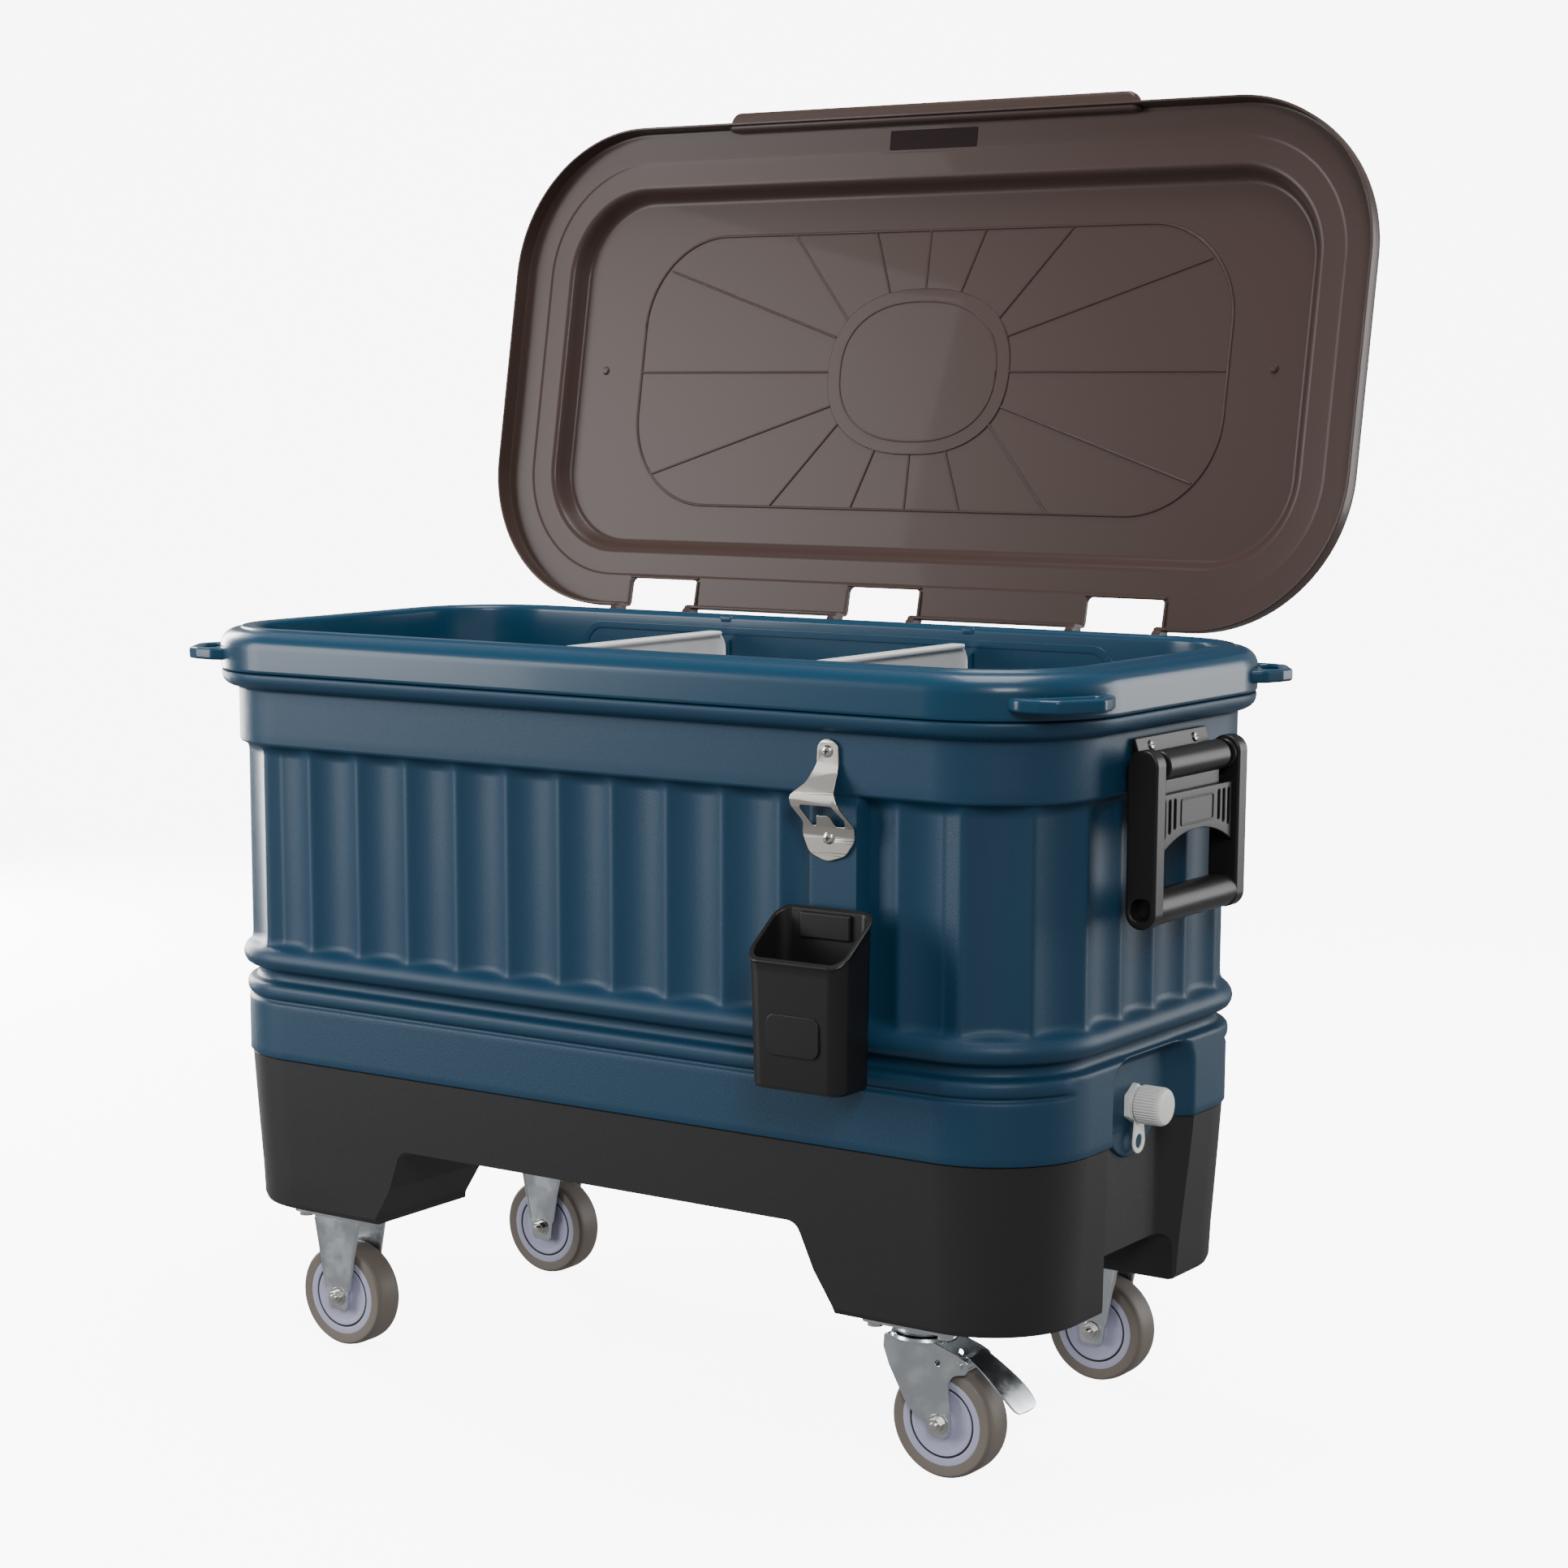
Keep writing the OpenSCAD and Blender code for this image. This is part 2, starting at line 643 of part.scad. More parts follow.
module caster_bolt_places(c) {
    for (dx = [-36, 36], dy = [-24, 24])
        translate([c[0] * caster_x + dx, c[1] * caster_y + dy, 0]) children();
}

module top_plate() {
    difference() {
        translate([-47, -33, foot_z - plate_t]) cube([94, 66, plate_t - 0.1]);
        for (dx = [-36, 36], dy = [-24, 24])
            translate([dx, dy, foot_z - plate_t - 1]) cylinder(r = 4.2, h = 6, $fn = 24);
    }
}

// A straight tapered leg of a fixed fork, seen from the side
module rigid_leg() {
    top = foot_z - plate_t;
    difference() {
        union() {
            polygon([[-28, top], [28, top], [13, wheel_r], [-13, wheel_r]]);
            translate([0, wheel_r]) circle(13);
        }
        translate([0, wheel_r]) circle(4.05);
    }
}

module rigid_fork(c) {
    color([0.75, 0.78, 0.8]) translate([c[0] * caster_x, c[1] * caster_y, 0]) {
        top_plate();
        for (s = [-1, 1]) translate([0, s * (fork_gap + fork_t) / 2 + fork_t / 2, 0])
            facing_front() linear_extrude(fork_t) rigid_leg();
    }
}

module front_left_fork() { rigid_fork([-1, -1]); }
module back_left_fork() { rigid_fork([-1, 1]); }
module back_right_fork() { rigid_fork([1, 1]); }

module caster_bolts() {
    color([0.7, 0.7, 0.72]) for (c = corners) caster_bolt_places(c)
        translate([0, 0, foot_z - plate_t - 0.1]) rotate([180, 0, 0]) screw(4, 14, 7, 4);
}

module swivel_plate() {
    color([0.75, 0.78, 0.8]) translate(swivel_at) difference() {
        union() {
            top_plate();
            translate([0, 0, foot_z - 10]) cylinder(r = 27, h = 7);
        }
        translate([0, 0, 100]) cylinder(r = 6.06, h = 60);
    }
}

module swivel_rivet() {
    color([0.7, 0.72, 0.75]) translate(swivel_at) {
        translate([0, 0, 118]) cylinder(r = 6, h = foot_z - 118 - 0.4);
        translate([0, 0, 117.2]) cylinder(r = 10, h = 3.4);
    }
}

// The raked leg of the swivelling fork, seen from the side, measured from its pivot
module swivel_leg() {
    difference() {
        union() {
            polygon([[-28, 124], [22, 124], [30, 104], [trail + 12, 66], [trail + 13, wheel_r],
                     [trail - 13, wheel_r], [-14, 88], [-28, 112]]);
            translate([trail, wheel_r]) circle(13);
        }
        translate([trail, wheel_r]) circle(4.05);
    }
}

module swivel_fork() {
    color([0.75, 0.78, 0.8]) translate(swivel_at) {
        difference() {
            union() {
                translate([0, 0, 121]) cylinder(r = 29, h = 6.7);
                translate([-28, -(fork_gap + 2 * fork_t) / 2, 121]) cube([50, fork_gap + 2 * fork_t, 3]);
            }
            translate([0, 0, 110]) cylinder(r = 6.06, h = 30);
        }
        difference() {
            for (s = [-1, 1]) {
                translate([0, s * (fork_gap + fork_t) / 2 + fork_t / 2, 0])
                    facing_front() linear_extrude(fork_t) swivel_leg();
                translate([26, s * (fork_gap + fork_t) / 2 + fork_t / 2, 0])
                    facing_front() linear_extrude(fork_t)
                        polygon([[-8, 124], [18, 122], [31, 115], [31, 100], [22, 96], [0, 100]]);
            }
            brake_axis(-40) cylinder(r = 3, h = 80);
        }
    }
}

// The brake's pivot, from y along +Y
module brake_axis(y) { translate([48, y, 107]) rotate([-90, 0, 0]) children(); }

module brake_pin() {
    color([0.7, 0.72, 0.75]) translate(swivel_at) brake_axis(-fork_gap / 2 - 5) cylinder(r = 3, h = fork_gap + 10);
}

// The foot lever: a barrel between the fork's ears, a tread plate and a cam that closes on the tyre
module brake_lever() {
    half = fork_gap / 2 - 0.4;
    color([0.8, 0.82, 0.84]) translate(swivel_at) difference() {
        union() {
            brake_axis(-half) cylinder(r = 6, h = 2 * half);
            translate([48, -half + 1, 107]) rotate([0, 35, 0]) translate([0.5, 0, 2.1]) cube([57, 2 * half - 2, 2.6]);
            translate([48, -half + 3, 107]) rotate([0, 85, 0]) translate([3.6, 0, -2.4]) cube([4.6, 2 * half - 6, 4.8]);
        }
        brake_axis(-40) cylinder(r = 3 + run, h = 80);
    }
}

// A wheel's parts are drawn about the origin with the axle along Y
module tyre_shape() {
    rotate([90, 0, 0]) rotate_extrude($fn = 96) difference() {
        translate([39, -wheel_w / 2]) square([wheel_r - 39, wheel_w]);
        for (s = [-1, 1]) translate([wheel_r, s * wheel_w / 2]) rotate(45) square(4, center = true);
    }
}

module hub_shape() {
    rotate([90, 0, 0]) rotate_extrude($fn = 96) difference() {
        translate([9, -wheel_w / 2 + 1]) square([30, wheel_w - 2]);
        for (s = [-1, 1]) {
            translate([17, s * 16 - 3]) square([12, 6]);
            translate([31, s * 15 - 0.8]) square([1.6, 1.6]);
        }
    }
}

module bush_shape() {
    rotate([90, 0, 0]) difference() {
        cylinder(r = 8.95, h = wheel_w + 1.6, center = true);
        cylinder(r = 4.06, h = wheel_w + 4, center = true);
    }
}

module axle_shape() {
    half = fork_gap / 2 + fork_t;
    translate([0, half + 3, 0]) rotate([90, 0, 0]) cylinder(r = 4, h = 2 * half + 6);
    translate([0, -half - 0.1, 0]) rotate([90, 0, 0]) cylinder(r = 7, h = 5.5, $fn = 6);
    translate([0, half + 5.6, 0]) rotate([90, 0, 0]) cylinder(r = 7, h = 5.5, $fn = 6);
}

module at_wheel(c) { translate([c[0] * caster_x, c[1] * caster_y, wheel_r]) children(); }
module at_swivel_wheel() { translate([caster_x + trail, -caster_y, wheel_r]) children(); }

module front_left_axle() { color([0.7, 0.72, 0.75]) at_wheel([-1, -1]) axle_shape(); }
module back_left_axle() { color([0.7, 0.72, 0.75]) at_wheel([-1, 1]) axle_shape(); }
module back_right_axle() { color([0.7, 0.72, 0.75]) at_wheel([1, 1]) axle_shape(); }
module front_right_axle() { color([0.7, 0.72, 0.75]) at_swivel_wheel() axle_shape(); }
module front_left_tyre() { color([0.33, 0.31, 0.28]) at_wheel([-1, -1]) tyre_shape(); }
module back_left_tyre() { color([0.33, 0.31, 0.28]) at_wheel([-1, 1]) tyre_shape(); }
module back_right_tyre() { color([0.33, 0.31, 0.28]) at_wheel([1, 1]) tyre_shape(); }
module front_right_tyre() { color([0.33, 0.31, 0.28]) at_swivel_wheel() tyre_shape(); }
module front_left_hub() { color([0.55, 0.55, 0.66]) at_wheel([-1, -1]) hub_shape(); }
module back_left_hub() { color([0.55, 0.55, 0.66]) at_wheel([-1, 1]) hub_shape(); }
module back_right_hub() { color([0.55, 0.55, 0.66]) at_wheel([1, 1]) hub_shape(); }
module front_right_hub() { color([0.55, 0.55, 0.66]) at_swivel_wheel() hub_shape(); }
module front_left_bush() { color([0.5, 0.5, 0.6]) at_wheel([-1, -1]) bush_shape(); }
module back_left_bush() { color([0.5, 0.5, 0.6]) at_wheel([-1, 1]) bush_shape(); }
module back_right_bush() { color([0.5, 0.5, 0.6]) at_wheel([1, 1]) bush_shape(); }
module front_right_bush() { color([0.5, 0.5, 0.6]) at_swivel_wheel() bush_shape(); }

outer_shell();
insulation_foam();
inner_liner();
rim_ring();
divider_guides();
hinge_pins();
base_skirt();
bottle_opener();
opener_screws();
bin_hanger();
hanger_screws();
catch_bin();
drain_spout();
drain_gasket();
drain_nut();
drain_tether();
drain_cap();
left_divider();
right_divider();
lid();
lid_label();
left_handle_bracket();
right_handle_bracket();
handle_screws();
handle_pins();
left_handle();
right_handle();
front_left_fork();
back_left_fork();
back_right_fork();
caster_bolts();
swivel_plate();
swivel_fork();
swivel_rivet();
brake_lever();
brake_pin();
front_left_axle();
back_left_axle();
back_right_axle();
front_right_axle();
front_left_tyre();
front_left_hub();
front_left_bush();
back_left_tyre();
back_left_hub();
back_left_bush();
back_right_tyre();
back_right_hub();
back_right_bush();
front_right_tyre();
front_right_hub();
front_right_bush();
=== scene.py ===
# %% [markdown]
# # Rolling party cooler chest
# This script dresses the exact model of the cooler: its plain nodes are covered by
# finer skins, each on the same moving body, and every part gets its finish.
# It starts by bringing in the frame, where +X is the drain end, -Y the front, +Z up.

import json
import math

import bmesh
import bpy
import numpy as np
from mathutils import Matrix, Vector


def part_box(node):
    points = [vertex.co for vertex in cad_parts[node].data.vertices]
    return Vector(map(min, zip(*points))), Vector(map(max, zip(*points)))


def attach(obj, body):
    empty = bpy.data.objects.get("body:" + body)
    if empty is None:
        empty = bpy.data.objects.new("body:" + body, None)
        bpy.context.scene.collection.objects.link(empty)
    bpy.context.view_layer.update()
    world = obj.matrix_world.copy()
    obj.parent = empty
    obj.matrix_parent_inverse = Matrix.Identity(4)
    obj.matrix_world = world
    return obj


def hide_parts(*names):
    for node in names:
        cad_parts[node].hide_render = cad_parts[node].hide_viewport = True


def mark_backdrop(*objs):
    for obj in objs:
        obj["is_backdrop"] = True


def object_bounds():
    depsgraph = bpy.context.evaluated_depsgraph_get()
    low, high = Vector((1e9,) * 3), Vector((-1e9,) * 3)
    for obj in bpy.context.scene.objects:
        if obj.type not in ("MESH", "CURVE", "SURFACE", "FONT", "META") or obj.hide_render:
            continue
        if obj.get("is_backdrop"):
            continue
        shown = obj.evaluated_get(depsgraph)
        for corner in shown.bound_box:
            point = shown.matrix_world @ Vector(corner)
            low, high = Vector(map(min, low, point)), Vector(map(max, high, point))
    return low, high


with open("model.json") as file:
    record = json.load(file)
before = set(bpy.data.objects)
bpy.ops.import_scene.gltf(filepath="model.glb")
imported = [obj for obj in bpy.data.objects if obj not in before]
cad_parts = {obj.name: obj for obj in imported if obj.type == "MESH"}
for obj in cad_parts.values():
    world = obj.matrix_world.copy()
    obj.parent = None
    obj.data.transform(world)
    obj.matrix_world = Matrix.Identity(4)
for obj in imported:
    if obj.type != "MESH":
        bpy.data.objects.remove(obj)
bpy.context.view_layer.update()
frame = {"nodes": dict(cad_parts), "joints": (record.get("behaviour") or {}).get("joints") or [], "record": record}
NODES = frame["nodes"]
JOINTS = {j["name"]: j for j in frame["joints"]}
MM = 0.001
HAIR = 0.01 * MM
print("nodes:", len(NODES), "joints:", len(JOINTS))

# %% [markdown]
# ## Sizes shared by many parts
# The shell's ridge line is the line that everything else steps out from or back
# from, so its half length, half width and corner radius are read off the shell once.

# %% Shared sizes
shell_low, shell_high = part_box("outer_shell")
BEAD = 24 * MM
HX = (shell_high.x - shell_low.x) / 2 - BEAD
HY = (shell_high.y - shell_low.y) / 2 - BEAD
R = 97 * MM
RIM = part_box("rim_ring")[1].z
SEAM = RIM - 42 * MM
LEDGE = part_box("divider_guides")[0].z - 1 * MM
FLUTES = 42
STRAIGHT_X, STRAIGHT_Y, ARC = HX - R, HY - R, math.pi * R / 2
PERIMETER = 4 * STRAIGHT_X + 4 * STRAIGHT_Y + 4 * ARC
print("half length", round(HX, 4), "half width", round(HY, 4), "round the ridges", round(PERIMETER, 4))


# %% [markdown]
# ## Ways of making a skin
# Moulded plastic is mostly swept shapes: an outline carried up through levels, a
# profile turned about an axle, or a plate with rounded edges. These few functions
# make those, and each one gives back a finished object with smooth shading.

# %% Skins from rings, turned profiles and plates
def mm(values):
    """Millimetres to metres, for a number, a point or a list of points."""
    if isinstance(values, (list, tuple)):
        return type(values)(mm(v) for v in values)
    return values * MM


def shown(name, data):
    """Puts a mesh, a curve, a light or a camera into the scene as an object."""
    obj = bpy.data.objects.new(name, data)
    bpy.context.scene.collection.objects.link(obj)
    return obj


def settled(obj):
    """The mesh that an object's modifiers or curve settings lead to."""
    bpy.context.view_layer.update()
    return bpy.data.meshes.new_from_object(obj.evaluated_get(bpy.context.evaluated_depsgraph_get()))


def smooth(mesh, sharp):
    """Smooth shading, except over edges sharper than an angle in degrees."""
    mesh.shade_smooth()
    mesh.set_sharp_from_angle(angle=math.radians(sharp))


def cleaned(mesh):
    """Merges points that share a place and turns every face outwards."""
    work = bmesh.new()
    work.from_mesh(mesh)
    bmesh.ops.remove_doubles(work, verts=work.verts, dist=1e-6)
    bmesh.ops.recalc_face_normals(work, faces=work.faces)
    work.to_mesh(mesh)
    work.free()


def made(name, verts, faces, sharp=32):
    mesh = bpy.data.meshes.new(name)
    mesh.from_pydata([tuple(v) for v in verts], [], faces)
    cleaned(mesh)
    smooth(mesh, sharp)
    return shown(name, mesh)


def loft(name, rings, cap=(False, False), closed=False, sharp=32):
    n = len(rings[0])
    verts = np.concatenate(rings)
    faces = []
    count = len(rings) if closed else len(rings) - 1
    for i in range(count):
        a, b = i * n, (i + 1) % len(rings) * n
        for k in range(n):
            m = (k + 1) % n
            faces.append((a + k, a + m, b + m, b + k))
    if cap[0]:
        faces.append(tuple(range(n)))
    if cap[1]:
        faces.append(tuple(range((len(rings) - 1) * n, len(rings) * n)))
    return made(name, verts, faces, sharp)


def rounded(hx, hy, r, z, corner=20):
    """A level ring: a rounded rectangle, counter-clockwise from the right end's lower corner."""
    pts = []
    for cx, cy, start in ((1, 1, 0), (-1, 1, 90), (-1, -1, 180), (1, -1, 270)):
        for k in range(corner + 1):
            a = math.radians(start + 90 * k / corner)
            pts.append((cx * (hx - r) + r * math.cos(a), cy * (hy - r) + r * math.sin(a), z))
    return np.array(pts)


def body_ring(out, z, corner=20):
    return rounded(HX + out, HY + out, R + out, z, corner)


def turned(name, profile, centre, axis="Y", segments=96, sharp=32, closed=True):
    """A profile of (radius, distance along the axis), turned about an axis through centre."""
    rings = []
    angles = np.linspace(0, 2 * math.pi, segments, endpoint=False)
    for r, h in profile:
        c, s, d = r * np.cos(angles), r * np.sin(angles), np.full(segments, h)
        order = {"X": (d, c, s), "Y": (s, d, c), "Z": (c, s, d)}[axis]
        rings.append(np.stack(order, 1) + np.array(centre))
    return loft(name, rings, closed=closed, sharp=sharp)


def fillet(points, radii, steps=6):
    """A polygon with its corners rounded. radii is one number or one per corner."""
    n, out = len(points), []
    radii = [radii] * n if isinstance(radii, (int, float)) else radii
    for i, p in enumerate(points):
        p, q, s = np.array(p, float), np.array(points[i - 1], float), np.array(points[(i + 1) % n], float)
        if radii[i] <= 0:
            out.append(tuple(p))
            continue
        u, v = (q - p) / np.linalg.norm(q - p), (s - p) / np.linalg.norm(s - p)
        half = math.acos(max(-1, min(1, float(u @ v)))) / 2
        if half > math.radians(89):
            out.append(tuple(p))
            continue
        reach = min(radii[i] / math.tan(half), 0.49 * np.linalg.norm(q - p), 0.49 * np.linalg.norm(s - p))
        r = reach * math.tan(half)
        middle = p + (u + v) / np.linalg.norm(u + v) * r / math.sin(half)
        a, b = p + u * reach - middle, p + v * reach - middle
        start, turn = math.atan2(a[1], a[0]), math.atan2(a[0] * b[1] - a[1] * b[0], float(a @ b))
        out += [tuple(middle + r * np.array((math.cos(start + turn * k / steps),
            math.sin(start + turn * k / steps)))) for k in range(steps + 1)]
    return out


def disc(x, y, r, steps=48):
    return [(x + r * math.cos(2 * math.pi * k / steps), y + r * math.sin(2 * math.pi * k / steps))
        for k in range(steps)]


def plate(name, outer, holes, thick, bevel, place, sharp=40):
    """A flat piece with rounded edges, drawn in its own XY plane, then put in place."""
    flat = bpy.data.curves.new(name, "CURVE")
    flat.dimensions, flat.fill_mode = "2D", "BOTH"

    def signed(loop):
        return sum(a[0] * b[1] - b[0] * a[1] for a, b in zip(loop, loop[1:] + loop[:1]))

    for i, loop in enumerate([outer] + list(holes)):
        loop = list(loop)
        if (signed(loop) > 0) != (i == 0):
            loop.reverse()
        spline = flat.splines.new("POLY")
        spline.points.add(len(loop) - 1)
        for point, (x, y) in zip(spline.points, loop):
            point.co = (x, y, 0, 1)
        spline.use_cyclic_u = True
    flat.extrude, flat.bevel_depth, flat.bevel_resolution, flat.offset = thick / 2 - bevel, bevel, 2, -bevel
    holder = shown(name, flat)
    mesh = settled(holder)
    bpy.data.objects.remove(holder)
    cleaned(mesh)
    mesh.name = name
    mesh.transform(place)
    smooth(mesh, sharp)
    return shown(name, mesh)


def stands(origin, right, up):
    """Puts a plate's own X along right and its own Y along up, with origin at its middle."""
    right, up = Vector(right).normalized(), Vector(up).normalized()
    out = right.cross(up)
    return Matrix(((right.x, up.x, out.x, origin[0]), (right.y, up.y, out.y, origin[1]),
        (right.z, up.z, out.z, origin[2]), (0, 0, 0, 1)))


def level(z, x=0, y=0):
    """A plate laid flat at a height."""
    return stands((x, y, z), (1, 0, 0), (0, 1, 0))


def frontal(y, x=0, z=0):
    """A plate that stands facing the front."""
    return stands((x, y, z), (1, 0, 0), (0, 0, 1))


def endwise(x, y=0, z=0):
    """A plate that stands facing the drain end."""
    return stands((x, y, z), (0, 1, 0), (0, 0, 1))


def corners(x0, y0, x1, y1):
    """A rectangle's corners, counter-clockwise from the lower left one."""
    return [(x0, y0), (x1, y0), (x1, y1), (x0, y1)]


def tube(name, path, radius, sides=16):
    """A round bar along a path of points."""
    path = [np.array(p, float) for p in path]
    rings = []
    side = None
    for i, p in enumerate(path):
        t = path[min(i + 1, len(path) - 1)] - path[max(i - 1, 0)]
        t /= np.linalg.norm(t)
        if side is None:
            side = np.cross(t, (0, 0, 1) if abs(t[2]) < 0.9 else (1, 0, 0))
        side = side - t * (side @ t)
        side /= np.linalg.norm(side)
        up = np.cross(t, side)
        a = np.linspace(0, 2 * math.pi, sides, endpoint=False)[:, None]
        rings.append(p + radius * (np.cos(a) * side + np.sin(a) * up))
    return loft(name, rings, cap=(True, True), sharp=60)


def block(name, low, high, bevel=1.0 * MM, segments=3):
    """A moulded block with rounded edges."""
    work = bmesh.new()
    bmesh.ops.create_cube(work, size=1)
    for v in work.verts:
        v.co = Vector([(low[i] + high[i]) / 2 + v.co[i] * (high[i] - low[i]) for i in range(3)])
    bmesh.ops.bevel(work, geom=list(work.edges), offset=bevel, segments=segments, profile=0.5, affect="EDGES")
    mesh = bpy.data.meshes.new(name)
    work.to_mesh(mesh)
    work.free()
    smooth(mesh, 40)
    return shown(name, mesh)


def joined(name, parts):
    """Several pieces of one moulding as one object."""
    work = bmesh.new()
    for p in parts:
        mesh = p.data.copy()
        mesh.transform(p.matrix_world)
        work.from_mesh(mesh)
        bpy.data.meshes.remove(mesh)
    mesh = bpy.data.meshes.new(name)
    work.to_mesh(mesh)
    work.free()
    for p in parts:
        bpy.data.objects.remove(p)
    return shown(name, mesh)


def mirrored(obj, name):
    """The same piece for the other end."""
    mesh = obj.data.copy()
    mesh.transform(Matrix.Scale(-1, 4, (1, 0, 0)))
    mesh.flip_normals()
    return shown(name, mesh)


def carved(obj, cutters, bevel=0.0, segments=3):
    """Takes cutters away from obj, then softens the hard edges that are left."""
    for c in cutters:
        m = obj.modifiers.new("cut", "BOOLEAN")
        m.operation, m.solver, m.object = "DIFFERENCE", "EXACT", c
    if bevel:
        m = obj.modifiers.new("soften", "BEVEL")
        m.width, m.segments, m.limit_method, m.angle_limit = bevel, segments, "ANGLE", math.radians(30)
        m.harden_normals = True
    mesh = settled(obj)
    name = obj.name
    for c in cutters:
        bpy.data.objects.remove(c)
    bpy.data.objects.remove(obj)
    mesh.name = name
    return shown(name, mesh)


def dress(obj, body, nodes, slot_name):
    """Evens out the shading of big flats, then hands the skin to its body, nodes and slot."""
    even = obj.modifiers.new("even", "WEIGHTED_NORMAL")
    even.keep_sharp = True
    obj.data = settled(obj)
    obj.modifiers.clear()
    obj.data.materials.clear()
    obj.data.materials.append(SLOT_LOOK[slot_name])
    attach(obj, body)
    if nodes:
        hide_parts(*nodes)
    print(obj.name, len(obj.data.polygons), "faces on", body)
    return obj


def ease(x):
    x = np.clip(x, 0, 1)
    return x * x * (3 - 2 * x)


# %% [markdown]
# ## Finishes
# The body is a textured polyethylene, the rim and tub the same plastic moulded
# glossy, the base and bin a charcoal one, and the lid a smoky see-through one. The
# metal is bright zinc on the casters and brushed stainless steel on the opener.

# %% Finishes
def material(name, colour, rough, metal=0.0, coat=0.0):
    mat = bpy.data.materials.new(name)
    mat.use_nodes = True
    shader = mat.node_tree.nodes["Principled BSDF"]
    shader.inputs["Base Color"].default_value = (*colour, 1)
    shader.inputs["Roughness"].default_value = rough
    shader.inputs["Metallic"].default_value = metal
    shader.inputs["Coat Weight"].default_value = coat
    if not metal:
        shader.inputs["Specular IOR Level"].default_value = 0.3
    return mat, mat.node_tree, shader


def grain(tree, shader, scale, strength, distance=0.0002, stretch=(1, 1, 1), detail=4):
    """A fine moulded or brushed grain, as a bump on the surface."""
    place = tree.nodes.new("ShaderNodeTexCoord")
    spread = tree.nodes.new("ShaderNodeMapping")
    spread.inputs["Scale"].default_value = stretch
    noise = tree.nodes.new("ShaderNodeTexNoise")
    noise.inputs["Scale"].default_value = scale
    noise.inputs["Detail"].default_value = detail
    bump = tree.nodes.new("ShaderNodeBump")
    bump.inputs["Strength"].default_value = strength
    bump.inputs["Distance"].default_value = distance
    tree.links.new(place.outputs["Object"], spread.inputs["Vector"])
    tree.links.new(spread.outputs["Vector"], noise.inputs["Vector"])
    tree.links.new(noise.outputs["Fac"], bump.inputs["Height"])
    tree.links.new(bump.outputs["Normal"], shader.inputs["Normal"])


def mottle(tree, shader, socket, low, high, scale):
    """Slow changes of one value over the surface, as wear and handling leave."""
    place = tree.nodes.new("ShaderNodeTexCoord")
    noise = tree.nodes.new("ShaderNodeTexNoise")
    noise.inputs["Scale"].default_value = scale
    noise.inputs["Detail"].default_value = 5
    ramp = tree.nodes.new("ShaderNodeMapRange")
    ramp.inputs["From Min"].default_value, ramp.inputs["From Max"].default_value = 0.35, 0.65
    ramp.inputs["To Min"].default_value, ramp.inputs["To Max"].default_value = low, high
    tree.links.new(place.outputs["Object"], noise.inputs["Vector"])
    tree.links.new(noise.outputs["Fac"], ramp.inputs["Value"])
    tree.links.new(ramp.outputs["Result"], shader.inputs[socket])


def finish(name, colour, rough, bumps, shine=None, coat_rough=None, detail=4, stretch=(1, 1, 1), **more):
    """A material with its grain, which is given as scale, strength and depth."""
    mat, tree, shader = material(name, colour, rough, **more)
    if shine is not None:
        shader.inputs["Specular IOR Level"].default_value = shine
    if coat_rough is not None:
        shader.inputs["Coat Roughness"].default_value = coat_rough
    grain(tree, shader, *bumps, detail=detail, stretch=stretch)
    return mat


SLOT_LOOK = {
    "body_blue": finish("textured blue", (0.008, 0.041, 0.082), 0.46, (900, 0.55, 0.0003), detail=3),
    "rim_blue": finish("glossy blue", (0.0065, 0.043, 0.085), 0.3, (60, 0.05, 0.0004), coat=0.12,
        coat_rough=0.08),
    "charcoal": finish("charcoal", (0.019, 0.019, 0.0205), 0.5, (1000, 0.45, 0.0003), detail=3),
    "bin_black": finish("satin black", (0.011, 0.011, 0.0115), 0.36, (800, 0.12)),
    "handle_black": finish("handle black", (0.011, 0.0105, 0.0105), 0.38, (900, 0.1)),
    "white": finish("white", (0.86, 0.85, 0.83), 0.35, (120, 0.06, 0.0003)),
    "drain_white": finish("drain white", (0.82, 0.82, 0.79), 0.4, (150, 0.05, 0.0003)),
    # this black also paints shade: the rings in the hub grooves and the crosses on the screw heads
    "seal_black": finish("seal", (0.02, 0.02, 0.02), 0.6, (400, 0.1)),
    "opener_steel": finish("brushed steel", (0.56, 0.53, 0.49), 0.3, (700, 0.12, 0.0001), metal=1.0,
        stretch=(1, 1, 0.03)),
    "fastener_steel": finish("plated fastener", (0.66, 0.65, 0.62), 0.25, (300, 0.06, 0.0001), metal=1.0),
    "hub_lavender": finish("lavender hub", (0.4, 0.4, 0.55), 0.42, (200, 0.06)),
    "tread_taupe": finish("taupe tyre", (0.17, 0.145, 0.125), 0.48, (260, 0.15, 0.0003)),
    "foam": finish("foam", (0.85, 0.75, 0.5), 0.9, (500, 0.4)),
    "label_maroon": finish("blank label", (0.012, 0.0035, 0.005), 0.5, (100, 0.05), shine=0.12)}
zinc, t, s = material("bright zinc", (0.62, 0.66, 0.69), 0.24, metal=1.0)
grain(t, s, 90, 0.1, 0.0003)
mottle(t, s, "Roughness", 0.16, 0.34, 45)
smoky, t, s = material("smoky lid", (0.056, 0.036, 0.031), 0.32, coat=0.04)
s.inputs["Specular IOR Level"].default_value = 0.16
s.inputs["Alpha"].default_value = 0.996
grain(t, s, 30, 0.05, 0.0006)
SLOT_LOOK["fork_zinc"] = zinc
SLOT_LOOK["lid_brown"] = smoky
for part in frame["record"]["subparts"]:
    node = NODES[part["node"]]
    node.data.materials.clear()
    node.data.materials.append(SLOT_LOOK[part["material_slot"]])
print("finishes:", len(SLOT_LOOK))

